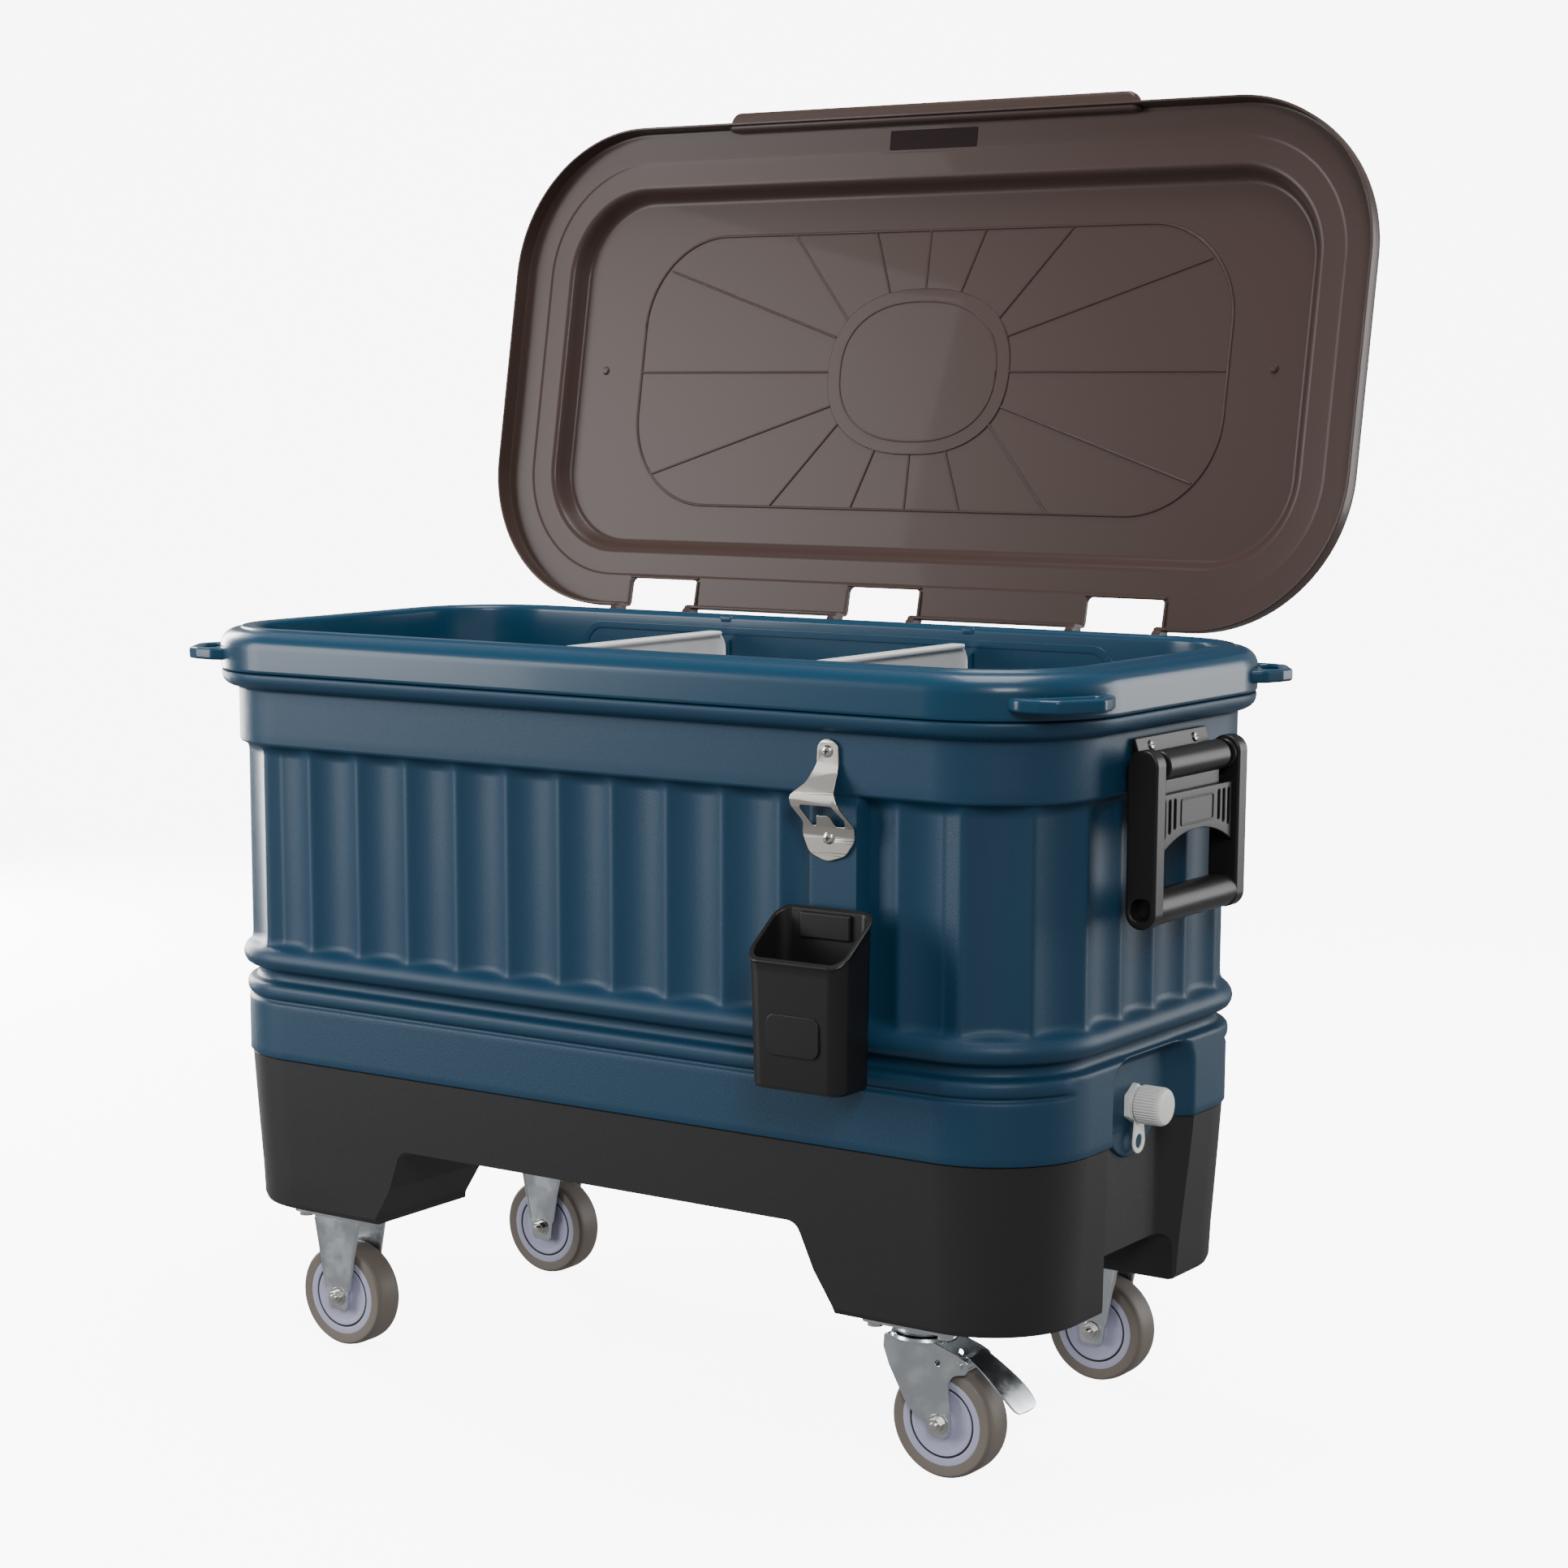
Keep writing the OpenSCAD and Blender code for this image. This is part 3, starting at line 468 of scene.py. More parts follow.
# %% [markdown]
# ## Fluted outer shell
# The shell is blown in one piece. Its outline is carried up through levels, and at
# each level the outline steps in or out: a skirt, a groove, a round bead, the
# flutes, and the smooth band under the rim. The flutes fade out into the band and
# the bead. The drain end is pressed back into a recess for the drain.

# %% Fluted outer shell
PER_FLUTE = 28
count = FLUTES * PER_FLUTE
arcs = (np.arange(count) / count - 0.5) * PERIMETER


def along(s):
    """Point and outward direction at arc length s along the ridge line, from the front's middle."""
    if s < 0:
        x, y, nx, ny = along(-s)
        return -x, y, -nx, ny
    if s < STRAIGHT_X:
        return s, -HY, 0.0, -1.0
    if s < STRAIGHT_X + ARC:
        a = (s - STRAIGHT_X) / R - math.pi / 2
        return STRAIGHT_X + R * math.cos(a), -STRAIGHT_Y + R * math.sin(a), math.cos(a), math.sin(a)
    if s < STRAIGHT_X + ARC + 2 * STRAIGHT_Y:
        return HX, s - STRAIGHT_X - ARC - STRAIGHT_Y, 1.0, 0.0
    t = s - STRAIGHT_X - ARC - 2 * STRAIGHT_Y
    if t < ARC:
        a = t / R
        return STRAIGHT_X + R * math.cos(a), STRAIGHT_Y + R * math.sin(a), math.cos(a), math.sin(a)
    return STRAIGHT_X - (t - ARC), HY, 0.0, 1.0


ridge = np.array([along(s) for s in arcs])
flute_phase = (arcs / (PERIMETER / FLUTES)) % 1.0
flute_phase = np.minimum(flute_phase, 1 - flute_phase)          # 0 in a flute's middle, 0.5 on a ridge
depth = (7.0 + 0.8 * (np.minimum(abs(ridge[:, 2]), abs(ridge[:, 3])) > 0.05)) * MM
trough = 1 - (flute_phase / 0.47) ** 2
soft = np.sqrt(trough ** 2 + 0.02) * 0.5 + trough * 0.5
FLUTE = depth * np.clip(soft, 0, 1)
opener_low, opener_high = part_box("bottle_opener")
STATION = (opener_low.x + opener_high.x) / 2 + 4 * MM
PAD = [STATION - 25 * MM, STATION + 25 * MM]
pad_share = ease((ridge[:, 0] - PAD[0] + 3 * MM) / (4 * MM)) * (ridge[:, 3] < -0.99)
pad_share = pad_share * ease((PAD[1] + 3 * MM - ridge[:, 0]) / (4 * MM))

drain_low, drain_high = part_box("drain_spout")
DRAIN_Z = (drain_low.z + drain_high.z) / 2
NOTCH_TOP, NOTCH_DEEP = 369 * MM, 22 * MM


def notch(y, z):
    """How far the drain end is pressed back at a height and a place across it."""
    rise = np.clip((z - (NOTCH_TOP - 34 * MM)) / (34 * MM), 0, 1)
    half = 80 * MM - 30 * MM * (1 - np.sqrt(np.clip(1 - rise ** 2, 0, 1)))
    wall = ease((half - np.abs(y)) / (26 * MM))
    roof = ease((NOTCH_TOP - z) / (15 * MM))
    return NOTCH_DEEP * wall * roof


end_share = ease((np.abs(ridge[:, 2]) - 0.92) / 0.06)          # the thin groove stops before each end


def shell_ring(out, z, flute=0.0):
    if 344.9 * MM < z < 363.5 * MM:
        out = 4 + (out - 4) * (1 - end_share)
    step = out * MM - FLUTE * flute * (1 - pad_share) + pad_share * flute * 8 * MM
    x, y = ridge[:, 0] + ridge[:, 2] * step, ridge[:, 1] + ridge[:, 3] * step
    if z < NOTCH_TOP:
        x = x - notch(y, z) * (ridge[:, 2] > 0.6)
    return np.stack([x, y, np.full(count, z)], 1)


def profile(points):
    return [shell_ring(out, z * MM, flute) for out, z, flute in points]


levels = [(-9, 284, 0), (-9, 290, 0), (2.5, 291.6, 0), (4, 293, 0), (4, 300, 0), (4, 312, 0), (4, 325, 0),
    (4, 335, 0), (4, 341, 0)]
levels += [(4, 345, 0), (3.4, 346.8, 0), (1.6, 347.8, 0), (1, 349.4, 0), (1.6, 351, 0), (3.6, 352, 0),
    (4.8, 353.8, 0), (5.4, 356.6, 0)]
levels += [(5.4, 360.4, 0), (4.8, 363, 0), (3.2, 364.8, 0), (1.2, 366, 0), (-3, 366.8, 0), (-5, 368, 0),
    (-6, 370.5, 0), (-6, 374.5, 0)]
levels += [(-5, 377, 0), (-2, 378.6, 0), (3, 380, 0), (6, 382, 0), (8.2, 386, 0), (9, 390, 0),
    (8.2, 394, 0), (6, 398, 0), (3.4, 400.4, 0.1)]
levels += [(1.6, 402, 0.35), (0.6, 404, 0.7), (0.2, 407, 0.92), (0, 411, 1.0)]
levels += [(0, z, 1.0) for z in (440, 480, 520, 560, 588)]
levels += [(0, 591, 0.97), (0.3, 594, 0.85), (1.2, 597, 0.6), (3, 599, 0.3), (5.2, 600.4, 0.08),
    (7, 601.6, 0), (8, 604, 0)]
levels += [(8, 615, 0), (8, 640, 0), (8, 652, 0), (8.6, 654.4, 0), (11.5, 655.8, 0), (16, 657, 0),
    (20, 659.2, 0), (22.6, 662, 0), (24, 665.4, 0)]
levels += [(24.4, 668.6, 0), (24.2, 670.6, 0), (23, 671.7, 0), (20, 672, 0), (6, 672.1, 0), (6, 695, 0)]
shell = loft("shell_skin", profile(levels), sharp=50)
boss = turned("drain_boss", mm([(0.1, 1.0), (0.1, 3.4), (46, 3.4), (48, 2.8), (49, 1.2), (49, -2),
    (0.1, -2)]), (HX - NOTCH_DEEP, 0, DRAIN_Z), axis="X", segments=96)
body_skin = joined("shell_skin", [shell, boss])
dress(body_skin, "cooler", ["outer_shell"], "body_blue")

# %% [markdown]
# ## Black base
# A heavy moulding with a leg at each corner. It is made as one solid that leans in
# a little towards the floor, and an arch is cut through from front to back and
# another between each end's legs. All the cut edges are rounded, as a mould leaves
# them. The notch for the drain runs on down its end.

# %% Black base
base_low, base_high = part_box("base_skirt")
FOOT, TOP = base_low.z, base_high.z
sides = []
for out, z in ((-14, FOOT), (-9.5, FOOT + 1.2 * MM), (-7.4, FOOT + 6 * MM), (-6, 175 * MM),
        (-3.2, 215 * MM), (-0.5, 255 * MM), (1.4, TOP - 5 * MM), (1.6, TOP - 1.5 * MM), (0, TOP)):
    sides.append(body_ring(out * MM, z, corner=28))
base = loft("base_skin", sides, cap=(True, True))
ARCH = 218 * MM
front_arch = fillet([(-268 * MM, FOOT - 30 * MM), (-266 * MM, FOOT + 6 * MM), (-246 * MM, 176 * MM),
    (-229 * MM, ARCH), (229 * MM, ARCH), (246 * MM, 176 * MM), (266 * MM, FOOT + 6 * MM),
    (268 * MM, FOOT - 30 * MM)], mm([0, 12, 20, 14, 14, 20, 12, 0]))
cut_front = plate("cut_front", front_arch, [], 2 * HY + 80 * MM, HAIR, frontal(0))
end_arch = fillet([(-67 * MM, FOOT - 30 * MM), (-66 * MM, 183 * MM), (66 * MM, 183 * MM),
    (67 * MM, FOOT - 30 * MM)], mm([0, 12, 12, 0]))
cut_end = plate("cut_end", end_arch, [], 2 * HX + 80 * MM, HAIR, endwise(0))
notch_plan = fillet([(HX - NOTCH_DEEP, -50 * MM), (HX - NOTCH_DEEP, 50 * MM), (HX + 12 * MM, 96 * MM),
    (HX + 12 * MM, -96 * MM)], mm([14, 14, 0, 0]))
cut_notch = plate("cut_notch", notch_plan, [], 400 * MM, HAIR, level(FOOT + 110 * MM))
base = carved(base, [cut_front, cut_end, cut_notch], bevel=5 * MM, segments=4)
smooth(base.data, 40)
dress(base, "cooler", ["base_skirt"], "charcoal")

# %% [markdown]
# ## Rim and tub
# One glossy moulding: it hooks over the shell's top, runs level round the rim with
# well rounded edges, and goes down inside as the tub. A ledge near the top carries
# the dividers, and the tub narrows at its ends near the bottom to leave room for
# the drain's recess. Four loops stand out at the
# corners and three hinge knuckles at the back.

# %% Rim and tub
def tub_ring(out, z, end=0.0, corner=28):
    r = R + out
    return rounded(HX + out - end, HY + out, r, z, corner)


FLOOR = 300 * MM
rim_levels = [(9, SEAM + 3 * MM), (9, SEAM + 0.6 * MM), (20, SEAM + 0.3 * MM), (23.6, SEAM + 0.7 * MM),
    (24.7, SEAM + 1.8 * MM), (25, SEAM + 4 * MM), (25, RIM - 19 * MM)]
rim_levels += [(25 - 17 * (1 - math.cos(a)), RIM - 19 * MM + 16.6 * MM * math.sin(a))
    for a in (0.15, 0.3, 0.5, 0.7, 0.9, 1.1, 1.3, 1.45)]
rim_levels += [(7, RIM - 2.4 * MM), (5.4, RIM - 2.1 * MM), (4.6, RIM - 1.1 * MM), (3.8, RIM - 0.3 * MM),
    (2.4, RIM), (-5, RIM), (-8.6, RIM - 0.6 * MM), (-10.8, RIM - 2.4 * MM), (-11.8, RIM - 5.5 * MM)]
rings = [tub_ring(o * MM, z) for o, z in rim_levels]
rings += [tub_ring(o * MM, LEDGE + z * MM) for o, z in ((-12, 50), (-12.4, 26), (-12.8, 9), (-13.6, 4),
    (-15.4, 1.4), (-18, 0.3), (-23, 0.1), (-26, -0.8), (-27.5, -2.6), (-28, -6))]
rings += [tub_ring(o * MM, z * MM) for o, z in ((-28, 560), (-28, 460), (-28, 394), (-28.6, 390))]
rings += [tub_ring(-30 * MM, 388 * MM, end=2 * MM), tub_ring(-28 * MM, 387.6 * MM, end=24 * MM),
    tub_ring(-29 * MM, 384 * MM, end=29 * MM)]
rings += [tub_ring(-31 * MM, 330 * MM, end=29 * MM), tub_ring(-33 * MM, 312 * MM, end=30 * MM),
    tub_ring(-38 * MM, 303 * MM, end=31 * MM), tub_ring(-46 * MM, FLOOR + 0.4 * MM, end=31 * MM)]
tub = loft("tub", rings, cap=(False, True), sharp=45)

# A shallow pressed panel on the long walls, and the ribs that hold the dividers
details = []
for side in (-1, 1):
    wall = side * (HY - 25.6 * MM)
    frame_loop = fillet(mm(corners(-300, 420, 300, 628)), 34 * MM, 10)
    inner_loop = fillet(mm(corners(-292, 428, 292, 620)), 27 * MM, 10)
    details.append(plate("panel", frame_loop, [inner_loop], 4 * MM, 1.2 * MM, frontal(wall)))
for side in (-1, 1):
    tall, low_z = RIM - 12 * MM, LEDGE + 2 * MM
    frame_loop = fillet(corners(-318 * MM, low_z, 318 * MM, tall), 26 * MM, 10)
    inner_loop = fillet(corners(-310 * MM, low_z + 8 * MM, 310 * MM, tall - 8 * MM), 19 * MM, 10)
    details.append(plate("upper_panel", frame_loop, [inner_loop], 2.6 * MM, 0.8 * MM,
        frontal(side * (HY - 11.7 * MM))))
DIVIDERS = [(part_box(n)[0].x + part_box(n)[1].x) / 2 for n in ("left_divider", "right_divider")]
for x in DIVIDERS:
    for side in (-1, 1):
        for edge in (-1, 1):
            wall = side * (HY - 12 * MM)
            details.append(block("rib", (x + edge * 5 * MM - 1.5 * MM, min(wall, wall - side * 3.4 * MM),
                LEDGE + 1 * MM), (x + edge * 5 * MM + 1.5 * MM,
                max(wall, wall - side * 3.4 * MM) + 1 * MM * (side > 0), LEDGE + 45 * MM), 1 * MM))
        details.append(block("nub", (x - 8 * MM, side * (HY - 7.6 * MM) - 4.6 * MM, RIM - 9 * MM),
            (x + 8 * MM, side * (HY - 7.6 * MM) + 4.6 * MM, RIM - 0.4 * MM), 3 * MM, 4))

# Corner loops
LOOP_LEAN = math.radians(32)
loop_outer = fillet(mm([(-12, -48), (5, -47), (22, -34), (32, -22), (32, 22), (22, 34), (5, 47),
    (-12, 48)]), mm([0, 14, 10, 10, 10, 10, 14, 0]))
loop_hole = fillet(mm([(5, -31), (14, -28), (21.5, -19), (21.5, 19), (14, 28), (5, 31)]), 5 * MM)
for cx, cy in ((1, 1), (1, -1), (-1, 1), (-1, -1)):
    a = math.atan2(cy * math.sin(LOOP_LEAN), cx * math.cos(LOOP_LEAN))
    origin = (cx * (HX - R) + (R + 23 * MM) * math.cos(a), cy * (HY - R) + (R + 23 * MM) * math.sin(a),
        687 * MM)
    details.append(plate("loop", loop_outer, [loop_hole], 11.6 * MM, 2.8 * MM,
        stands(origin, (math.cos(a), math.sin(a), 0), (-math.sin(a), math.cos(a), 0))))

# Hinge knuckles
hinge = JOINTS["lid_hinge"]
HINGE_Y, HINGE_Z = hinge["pos_m"][1], hinge["pos_m"][2]
pin_low, pin_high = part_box("hinge_pins")
HINGES = [0.0, pin_high.x - 56 * MM, pin_low.x + 56 * MM]
for x in HINGES:
    profile_loop = fillet([(HY + 18 * MM, HINGE_Z - 11 * MM), (HINGE_Y, HINGE_Z - 9 * MM),
        (HINGE_Y + 8.5 * MM, HINGE_Z - 8 * MM), (HINGE_Y + 8.5 * MM, HINGE_Z + 7.5 * MM),
        (HY + 18 * MM, HINGE_Z + 7 * MM)], mm([0, 3, 7.5, 7.5, 0]))
    details.append(plate("knuckle", profile_loop, [], 76 * MM, 1.5 * MM, endwise(x)))
tub = joined("tub_skin", [tub] + details)
dress(tub, "cooler", ["inner_liner", "rim_ring", "divider_guides"], "rim_blue")

# %% [markdown]
# ## Lid
# Drawn as it lies closed and then swung to where it stands open. A skirt hangs over
# the rim, a flat land rests on it, and the middle is raised in a smooth step. Thin
# ribs stiffen the middle panel, round a plain oval boss. The lip at the front is to
# lift it by, and three cut-outs at the back clear the hinge knuckles.

# %% Lid
OPEN = Matrix.Translation((0, HINGE_Y, HINGE_Z)) @ Matrix.Rotation(math.radians(hinge["range_deg"][0]), 4,
    "X") @ Matrix.Translation((0, -HINGE_Y, -HINGE_Z))
Z0 = RIM + 2 * MM


def lid_ring(out, z):
    return rounded(HX - 6 * MM + out * MM, HY + out * MM, R + (out + 12) * MM, Z0 + z * MM, 30)


inside = [(-31, 24), (-28, 23.4), (-25, 21.4), (-21, 13), (-18.5, 7.4), (-15.5, 5.2), (-12, 4.6), (9, 4.2),
    (10.6, 3.2), (12.4, 2.9), (40, 2.0), (42.2, 1.0), (43, -1.5), (43, -15), (43.6, -16.4)]
outside = [(45.2, -16.6), (46, -15.4), (46, -3), (45.4, 1.4), (43.4, 4.4), (40, 5.8), (12, 7), (-10, 7.8),
    (-13.5, 8.4), (-16, 10.6), (-18.5, 16.5), (-22.5, 24.4), (-26, 26.6), (-31, 27)]
lid = loft("lid_skin", [lid_ring(o, z) for o, z in inside + outside], cap=(True, True), sharp=50)
cuts = []
for x in HINGES:
    shape = fillet(corners(x - 43 * MM, 226 * MM, x + 43 * MM, 300 * MM), mm([6, 6, 0, 0]))
    cuts.append(plate("cut", shape, [], 80 * MM, HAIR, level(Z0)))
lid = carved(lid, cuts)
smooth(lid.data, 42)

parts = []
LIP = 245 * MM
lip_loop = fillet([(-LIP, -HY - 38 * MM), (-LIP + 6 * MM, -HY - 58 * MM), (LIP - 6 * MM, -HY - 58 * MM),
    (LIP, -HY - 38 * MM)], mm([4, 12, 12, 4]), 8)
parts.append(plate("lip", lip_loop, [], 15 * MM, 4.5 * MM, level(Z0 - 4 * MM)))
for x in HINGES:
    for side in (-1, 1):
        loop = fillet([(HY + 42 * MM, HINGE_Z), (HINGE_Y - 8 * MM, HINGE_Z - 8 * MM),
            (HINGE_Y + 8 * MM, HINGE_Z - 8 * MM), (HINGE_Y + 8 * MM, HINGE_Z + 8 * MM),
            (HY + 42 * MM, HINGE_Z + 13 * MM)], mm([0, 7, 7.5, 7.5, 0]))
        bore = disc(HINGE_Y, HINGE_Z, 4.4 * MM, 32)
        parts.append(plate("lug", loop, [bore], 8.6 * MM, 1.2 * MM, endwise(x + side * 47.5 * MM)))
    for a in (-1, 1):
        parts.append(tube("cut_rim",
            [(x + a * 44 * MM, 228 * MM, Z0 + 2.2 * MM), (x + a * 44 * MM, HY + 44 * MM, Z0 + 0.6 * MM)],
            1.6 * MM, 10))
    parts.append(tube("cut_rim", [(x - 44 * MM, 225 * MM, Z0 + 2.4 * MM),
        (x + 44 * MM, 225 * MM, Z0 + 2.4 * MM)], 1.6 * MM, 10))

PANEL_Z = Z0 + 24 * MM
panel = fillet(mm(corners(-352, -146, 352, 143)), 98 * MM, 24)
parts.append(tube("panel_rib", [(x, y, PANEL_Z) for x, y in panel + panel[:2]], 1.5 * MM, 10))
BOSS_X, BOSS_Y = 109 * MM, 86 * MM
oval = [(BOSS_X * math.copysign(abs(math.cos(a)) ** 0.85, math.cos(a)),
    BOSS_Y * math.copysign(abs(math.sin(a)) ** 0.85, math.sin(a))) for a in np.linspace(0, 2 * math.pi, 96,
    endpoint=False)]
parts.append(plate("boss", oval, [], 2.4 * MM, 1.0 * MM, level(PANEL_Z - 0.2 * MM)))
inner_oval = [(x * 0.86, y * 0.84) for x, y in oval]
parts.append(tube("boss_ring", [(x, y, PANEL_Z - 1.4 * MM) for x, y in inner_oval + inner_oval[:2]],
    0.9 * MM, 8))
for v in (-1, 1):
    for u0, u1 in ((-88, -168), (-42, -66), (0, 0), (42, 66), (88, 168)):
        top = 146 if v < 0 else 143
        reach = BOSS_Y * math.sqrt(max(0.05, 1 - (u0 * MM / BOSS_X) ** 2))
        parts.append(tube("rib", [(u0 * MM, v * reach, PANEL_Z), (u1 * MM, v * top * MM, PANEL_Z)],
            1.3 * MM, 8))
    for u in (-1, 1):
        parts.append(tube("rib", [(u * 103 * MM, v * 36 * MM, PANEL_Z),
            (u * 324 * MM, v * 110 * MM, PANEL_Z)], 1.3 * MM, 8))
for u in (-1, 1):
    parts.append(tube("rib", [(u * 108 * MM, 0, PANEL_Z), (u * 352 * MM, 0, PANEL_Z)], 1.3 * MM, 8))
    parts.append(turned("gate", mm([(0.1, -2.2), (3, -2), (4.2, -0.6), (5, 0.8), (0.1, 1)]),
        (u * 401 * MM, -2 * MM, PANEL_Z - 0.2 * MM), axis="Z", segments=24))
lid = joined("lid_skin", [lid] + parts)
lid.data.transform(OPEN)
dress(lid, "lid", ["lid"], "lid_brown")

# A blank sticker, flat on the inside of the land
sticker = fillet(corners(-47 * MM, -HY - 33 * MM, 57 * MM, -HY - 13 * MM), 1.5 * MM, 4)
sticker = plate("label_skin", sticker, [], 0.3 * MM, 0.05 * MM, level(Z0 + 1.84 * MM))
for v in sticker.data.vertices:
    v.co.z += 0.9 * MM * (1 - (-v.co.y - HY - 12.4 * MM) / (27.6 * MM))
sticker.data.transform(OPEN)
dress(sticker, "lid", ["lid_label"], "label_maroon")

# %% [markdown]
# ## Handles
# Each handle is a single moulding: two deep arms, a barrel that turns in the
# bracket, a slotted plate with an arched lower edge, and a round grip that runs
# right through. The bracket above is screwed to the band. The left end's pair is
# the right end's mirror image.

# %% Handles
swing = JOINTS["right_handle_swing"]
PX, PZ = swing["pos_m"][0], swing["pos_m"][2]
handle_low, handle_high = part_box("right_handle")
HALF = handle_high.y
GRIP_Z = handle_low.z + 15 * MM
ARM = 17 * MM
BAND_X = HX + 8 * MM
pieces = []
arm_loop = fillet([(PX - 13 * MM, GRIP_Z - 16 * MM), (PX + 15.5 * MM, GRIP_Z - 16 * MM),
    (PX + 16 * MM, PZ + 16 * MM), (PX - 13.3 * MM, PZ + 16 * MM)], mm([14.5, 14.5, 14, 14]), 10)
for side in (-1, 1):
    y = side * (HALF - ARM / 2)
    end_hole = fillet(corners(PX - 8 * MM, GRIP_Z - 8.5 * MM, PX + 9 * MM, GRIP_Z + 10 * MM),
        mm([7.5, 7.5, 4, 7.5]), 8)
    pieces.append(plate("arm", arm_loop, [end_hole], ARM, 2.2 * MM, frontal(y)))
    # the hole's dark end, well inside the arm
    pieces.append(plate("hole_end", end_hole, [], 1 * MM, 0.2 * MM, frontal(side * (HALF - 14 * MM))))
grip = [(14.2, -HALF / MM + 12), (15.4, -HALF / MM + 15), (15.4, -50), (15, 0), (15.4, 50),
    (15.4, HALF / MM - 15), (14.2, HALF / MM - 12)]
pieces.append(turned("grip", mm(grip), (PX, 0, GRIP_Z), axis="Y", segments=72, closed=False))
barrel = [(10, -57.4), (12.6, -57), (13.5, -55.6), (13.5, 55.6), (12.6, 57), (10, 57.4)]
pieces.append(turned("barrel", mm(barrel), (PX, 0, PZ), axis="Y", segments=72, closed=False))
for side in (-1, 1):
    stub = [(3.6, 64.6), (12.6, 64.8), (13.5, 66), (13.5, 74)]
    pieces.append(turned("stub", [(r * MM, side * y * MM) for r, y in stub], (PX, 0, PZ), axis="Y",
        segments=64, closed=False))
face = HALF - ARM + 2 * MM
arch = [(face * math.cos(a), 566 * MM - 19 * MM * abs(math.cos(a)) ** 2.2)
    for a in np.linspace(0, math.pi, 25)]
plate_loop = [(face, 601 * MM)] + arch + [(-face, 601 * MM)]
slots = []
for side in (-1, 1):
    for k in range(3):
        x = side * (41.5 + 9.6 * k) * MM
        slots.append(fillet(corners(x - 2.3 * MM, (569.5 - 3.2 * k) * MM, x + 2.3 * MM, 596 * MM),
            2.2 * MM, 5))
PLATE_X = PX + 8 * MM
pieces.append(plate("plate", plate_loop, slots, 4.5 * MM, 0.8 * MM, endwise(PLATE_X)))
badge = fillet(mm(corners(-31, 571, 31, 595)), 3 * MM)
badge_in = fillet(mm(corners(-29.4, 572.6, 29.4, 593.4)), 2 * MM)
pieces.append(plate("blank_frame", badge, [badge_in], 2 * MM, 0.5 * MM, endwise(PLATE_X + 2.1 * MM)))
pieces.append(block("upper_bar", (PX - 9 * MM, -HALF + ARM - 2 * MM, 594 * MM),
    (PX + 1 * MM, HALF - ARM + 2 * MM, 606 * MM), 2 * MM))
pieces.append(block("upper_web", (PX + 0.5 * MM, -52 * MM, 598 * MM), (PX + 5 * MM, 52 * MM, 616 * MM),
    1.5 * MM))
right = joined("right_handle_skin", pieces)
left = mirrored(right, "left_handle_skin")
for name, skin in (("right_handle", right), ("left_handle", left)):
    dress(skin, name, [name], "handle_black")

bracket = []
back_loop = fillet(mm(corners(-66, 610, 66, 646.6)), 3 * MM)
bracket.append(plate("bracket_back", back_loop, [], 5 * MM, 1 * MM, endwise(BAND_X + 2.7 * MM)))
lip_shape = fillet([(BAND_X + 2 * MM, 632 * MM), (BAND_X + 9.4 * MM, 632.6 * MM),
    (BAND_X + 4.4 * MM, 648.4 * MM), (BAND_X + 2 * MM, 648.4 * MM)], mm([0, 1.2, 1.2, 0]))
bracket.append(plate("bracket_face", lip_shape, [], 132 * MM, 0.8 * MM, frontal(0)))
for side in (-1, 1):
    ear = fillet([(BAND_X + 1 * MM, PZ - 10 * MM), (PX, PZ - 10 * MM), (PX + 9 * MM, PZ),
        (PX, PZ + 10 * MM), (BAND_X + 1 * MM, PZ + 10 * MM)], mm([0, 8, 8, 8, 0]))
    bracket.append(plate("ear", ear, [], 5.8 * MM, 0.8 * MM, frontal(side * 61 * MM)))
right = joined("right_bracket_skin", bracket)
left = mirrored(right, "left_bracket_skin")
dress(right, "cooler", ["right_handle_bracket"], "handle_black")
dress(left, "cooler", ["left_handle_bracket"], "handle_black")

# %% [markdown]
# ## Casters
# Three casters are fixed and one swivels with a brake. Each wheel is a taupe tread
# on a lavender hub with a ring groove, and a black ring laid in the groove is painted shade. A fixed fork is a
# plate with two straight cheeks; the swivelling one has raked cheeks, a raceway on top and a foot lever.

# %% Wheels
for corner_name in ("front_left", "back_left", "back_right", "front_right"):
    low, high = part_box(corner_name + "_tyre")
    middle = (low + high) / 2
    wr, ww = (high.z - low.z) / 2, (high.y - low.y) / 2
    body = corner_name + "_wheel"
    h = ww / MM
    tread = [(39, -h + 1), (47, -h), (48.6, -h + 0.5), (50.2, -h + 2.6), (wr / MM - 0.15, -h + 6),
        (wr / MM, -h + 10), (wr / MM, 0)]
    tread = tread + [(r, -w) for r, w in reversed(tread[:-1])]
    tyre = turned(corner_name + "_tread", mm(tread), middle, segments=144, sharp=50)
    dress(tyre, body, [corner_name + "_tyre"], "tread_taupe")
    face = [(9, h + 0.6), (10, h + 0.9), (11.5, h - 0.2), (13, h - 1.6), (15, h - 2.2), (24, h - 2.6),
        (26, h - 2.0), (29.6, h - 1.4), (30.4, h - 1.6), (30.7, h - 4.6), (32.2, h - 4.6), (32.5, h - 1.4),
        (33.4, h - 0.9), (38, h - 0.7), (39, h - 1)]
    hub = turned(corner_name + "_hub_skin", mm(face) + [(r * MM, -w * MM) for r, w in reversed(face)],
        middle, segments=144, sharp=40)
    dress(hub, body, [corner_name + "_hub"], "hub_lavender")
    # each hub face's groove holds a black ring: painted shade in the groove
    groove = joined(corner_name + "_groove",
        [turned("ring", [(30.75 * MM, side * (h - 4.5) * MM), (30.75 * MM, side * (h - 1.9) * MM),
        (32.15 * MM, side * (h - 1.9) * MM), (32.15 * MM, side * (h - 4.5) * MM)], middle, segments=96)
        for side in (-1, 1)])
    dress(groove, body, [], "seal_black")

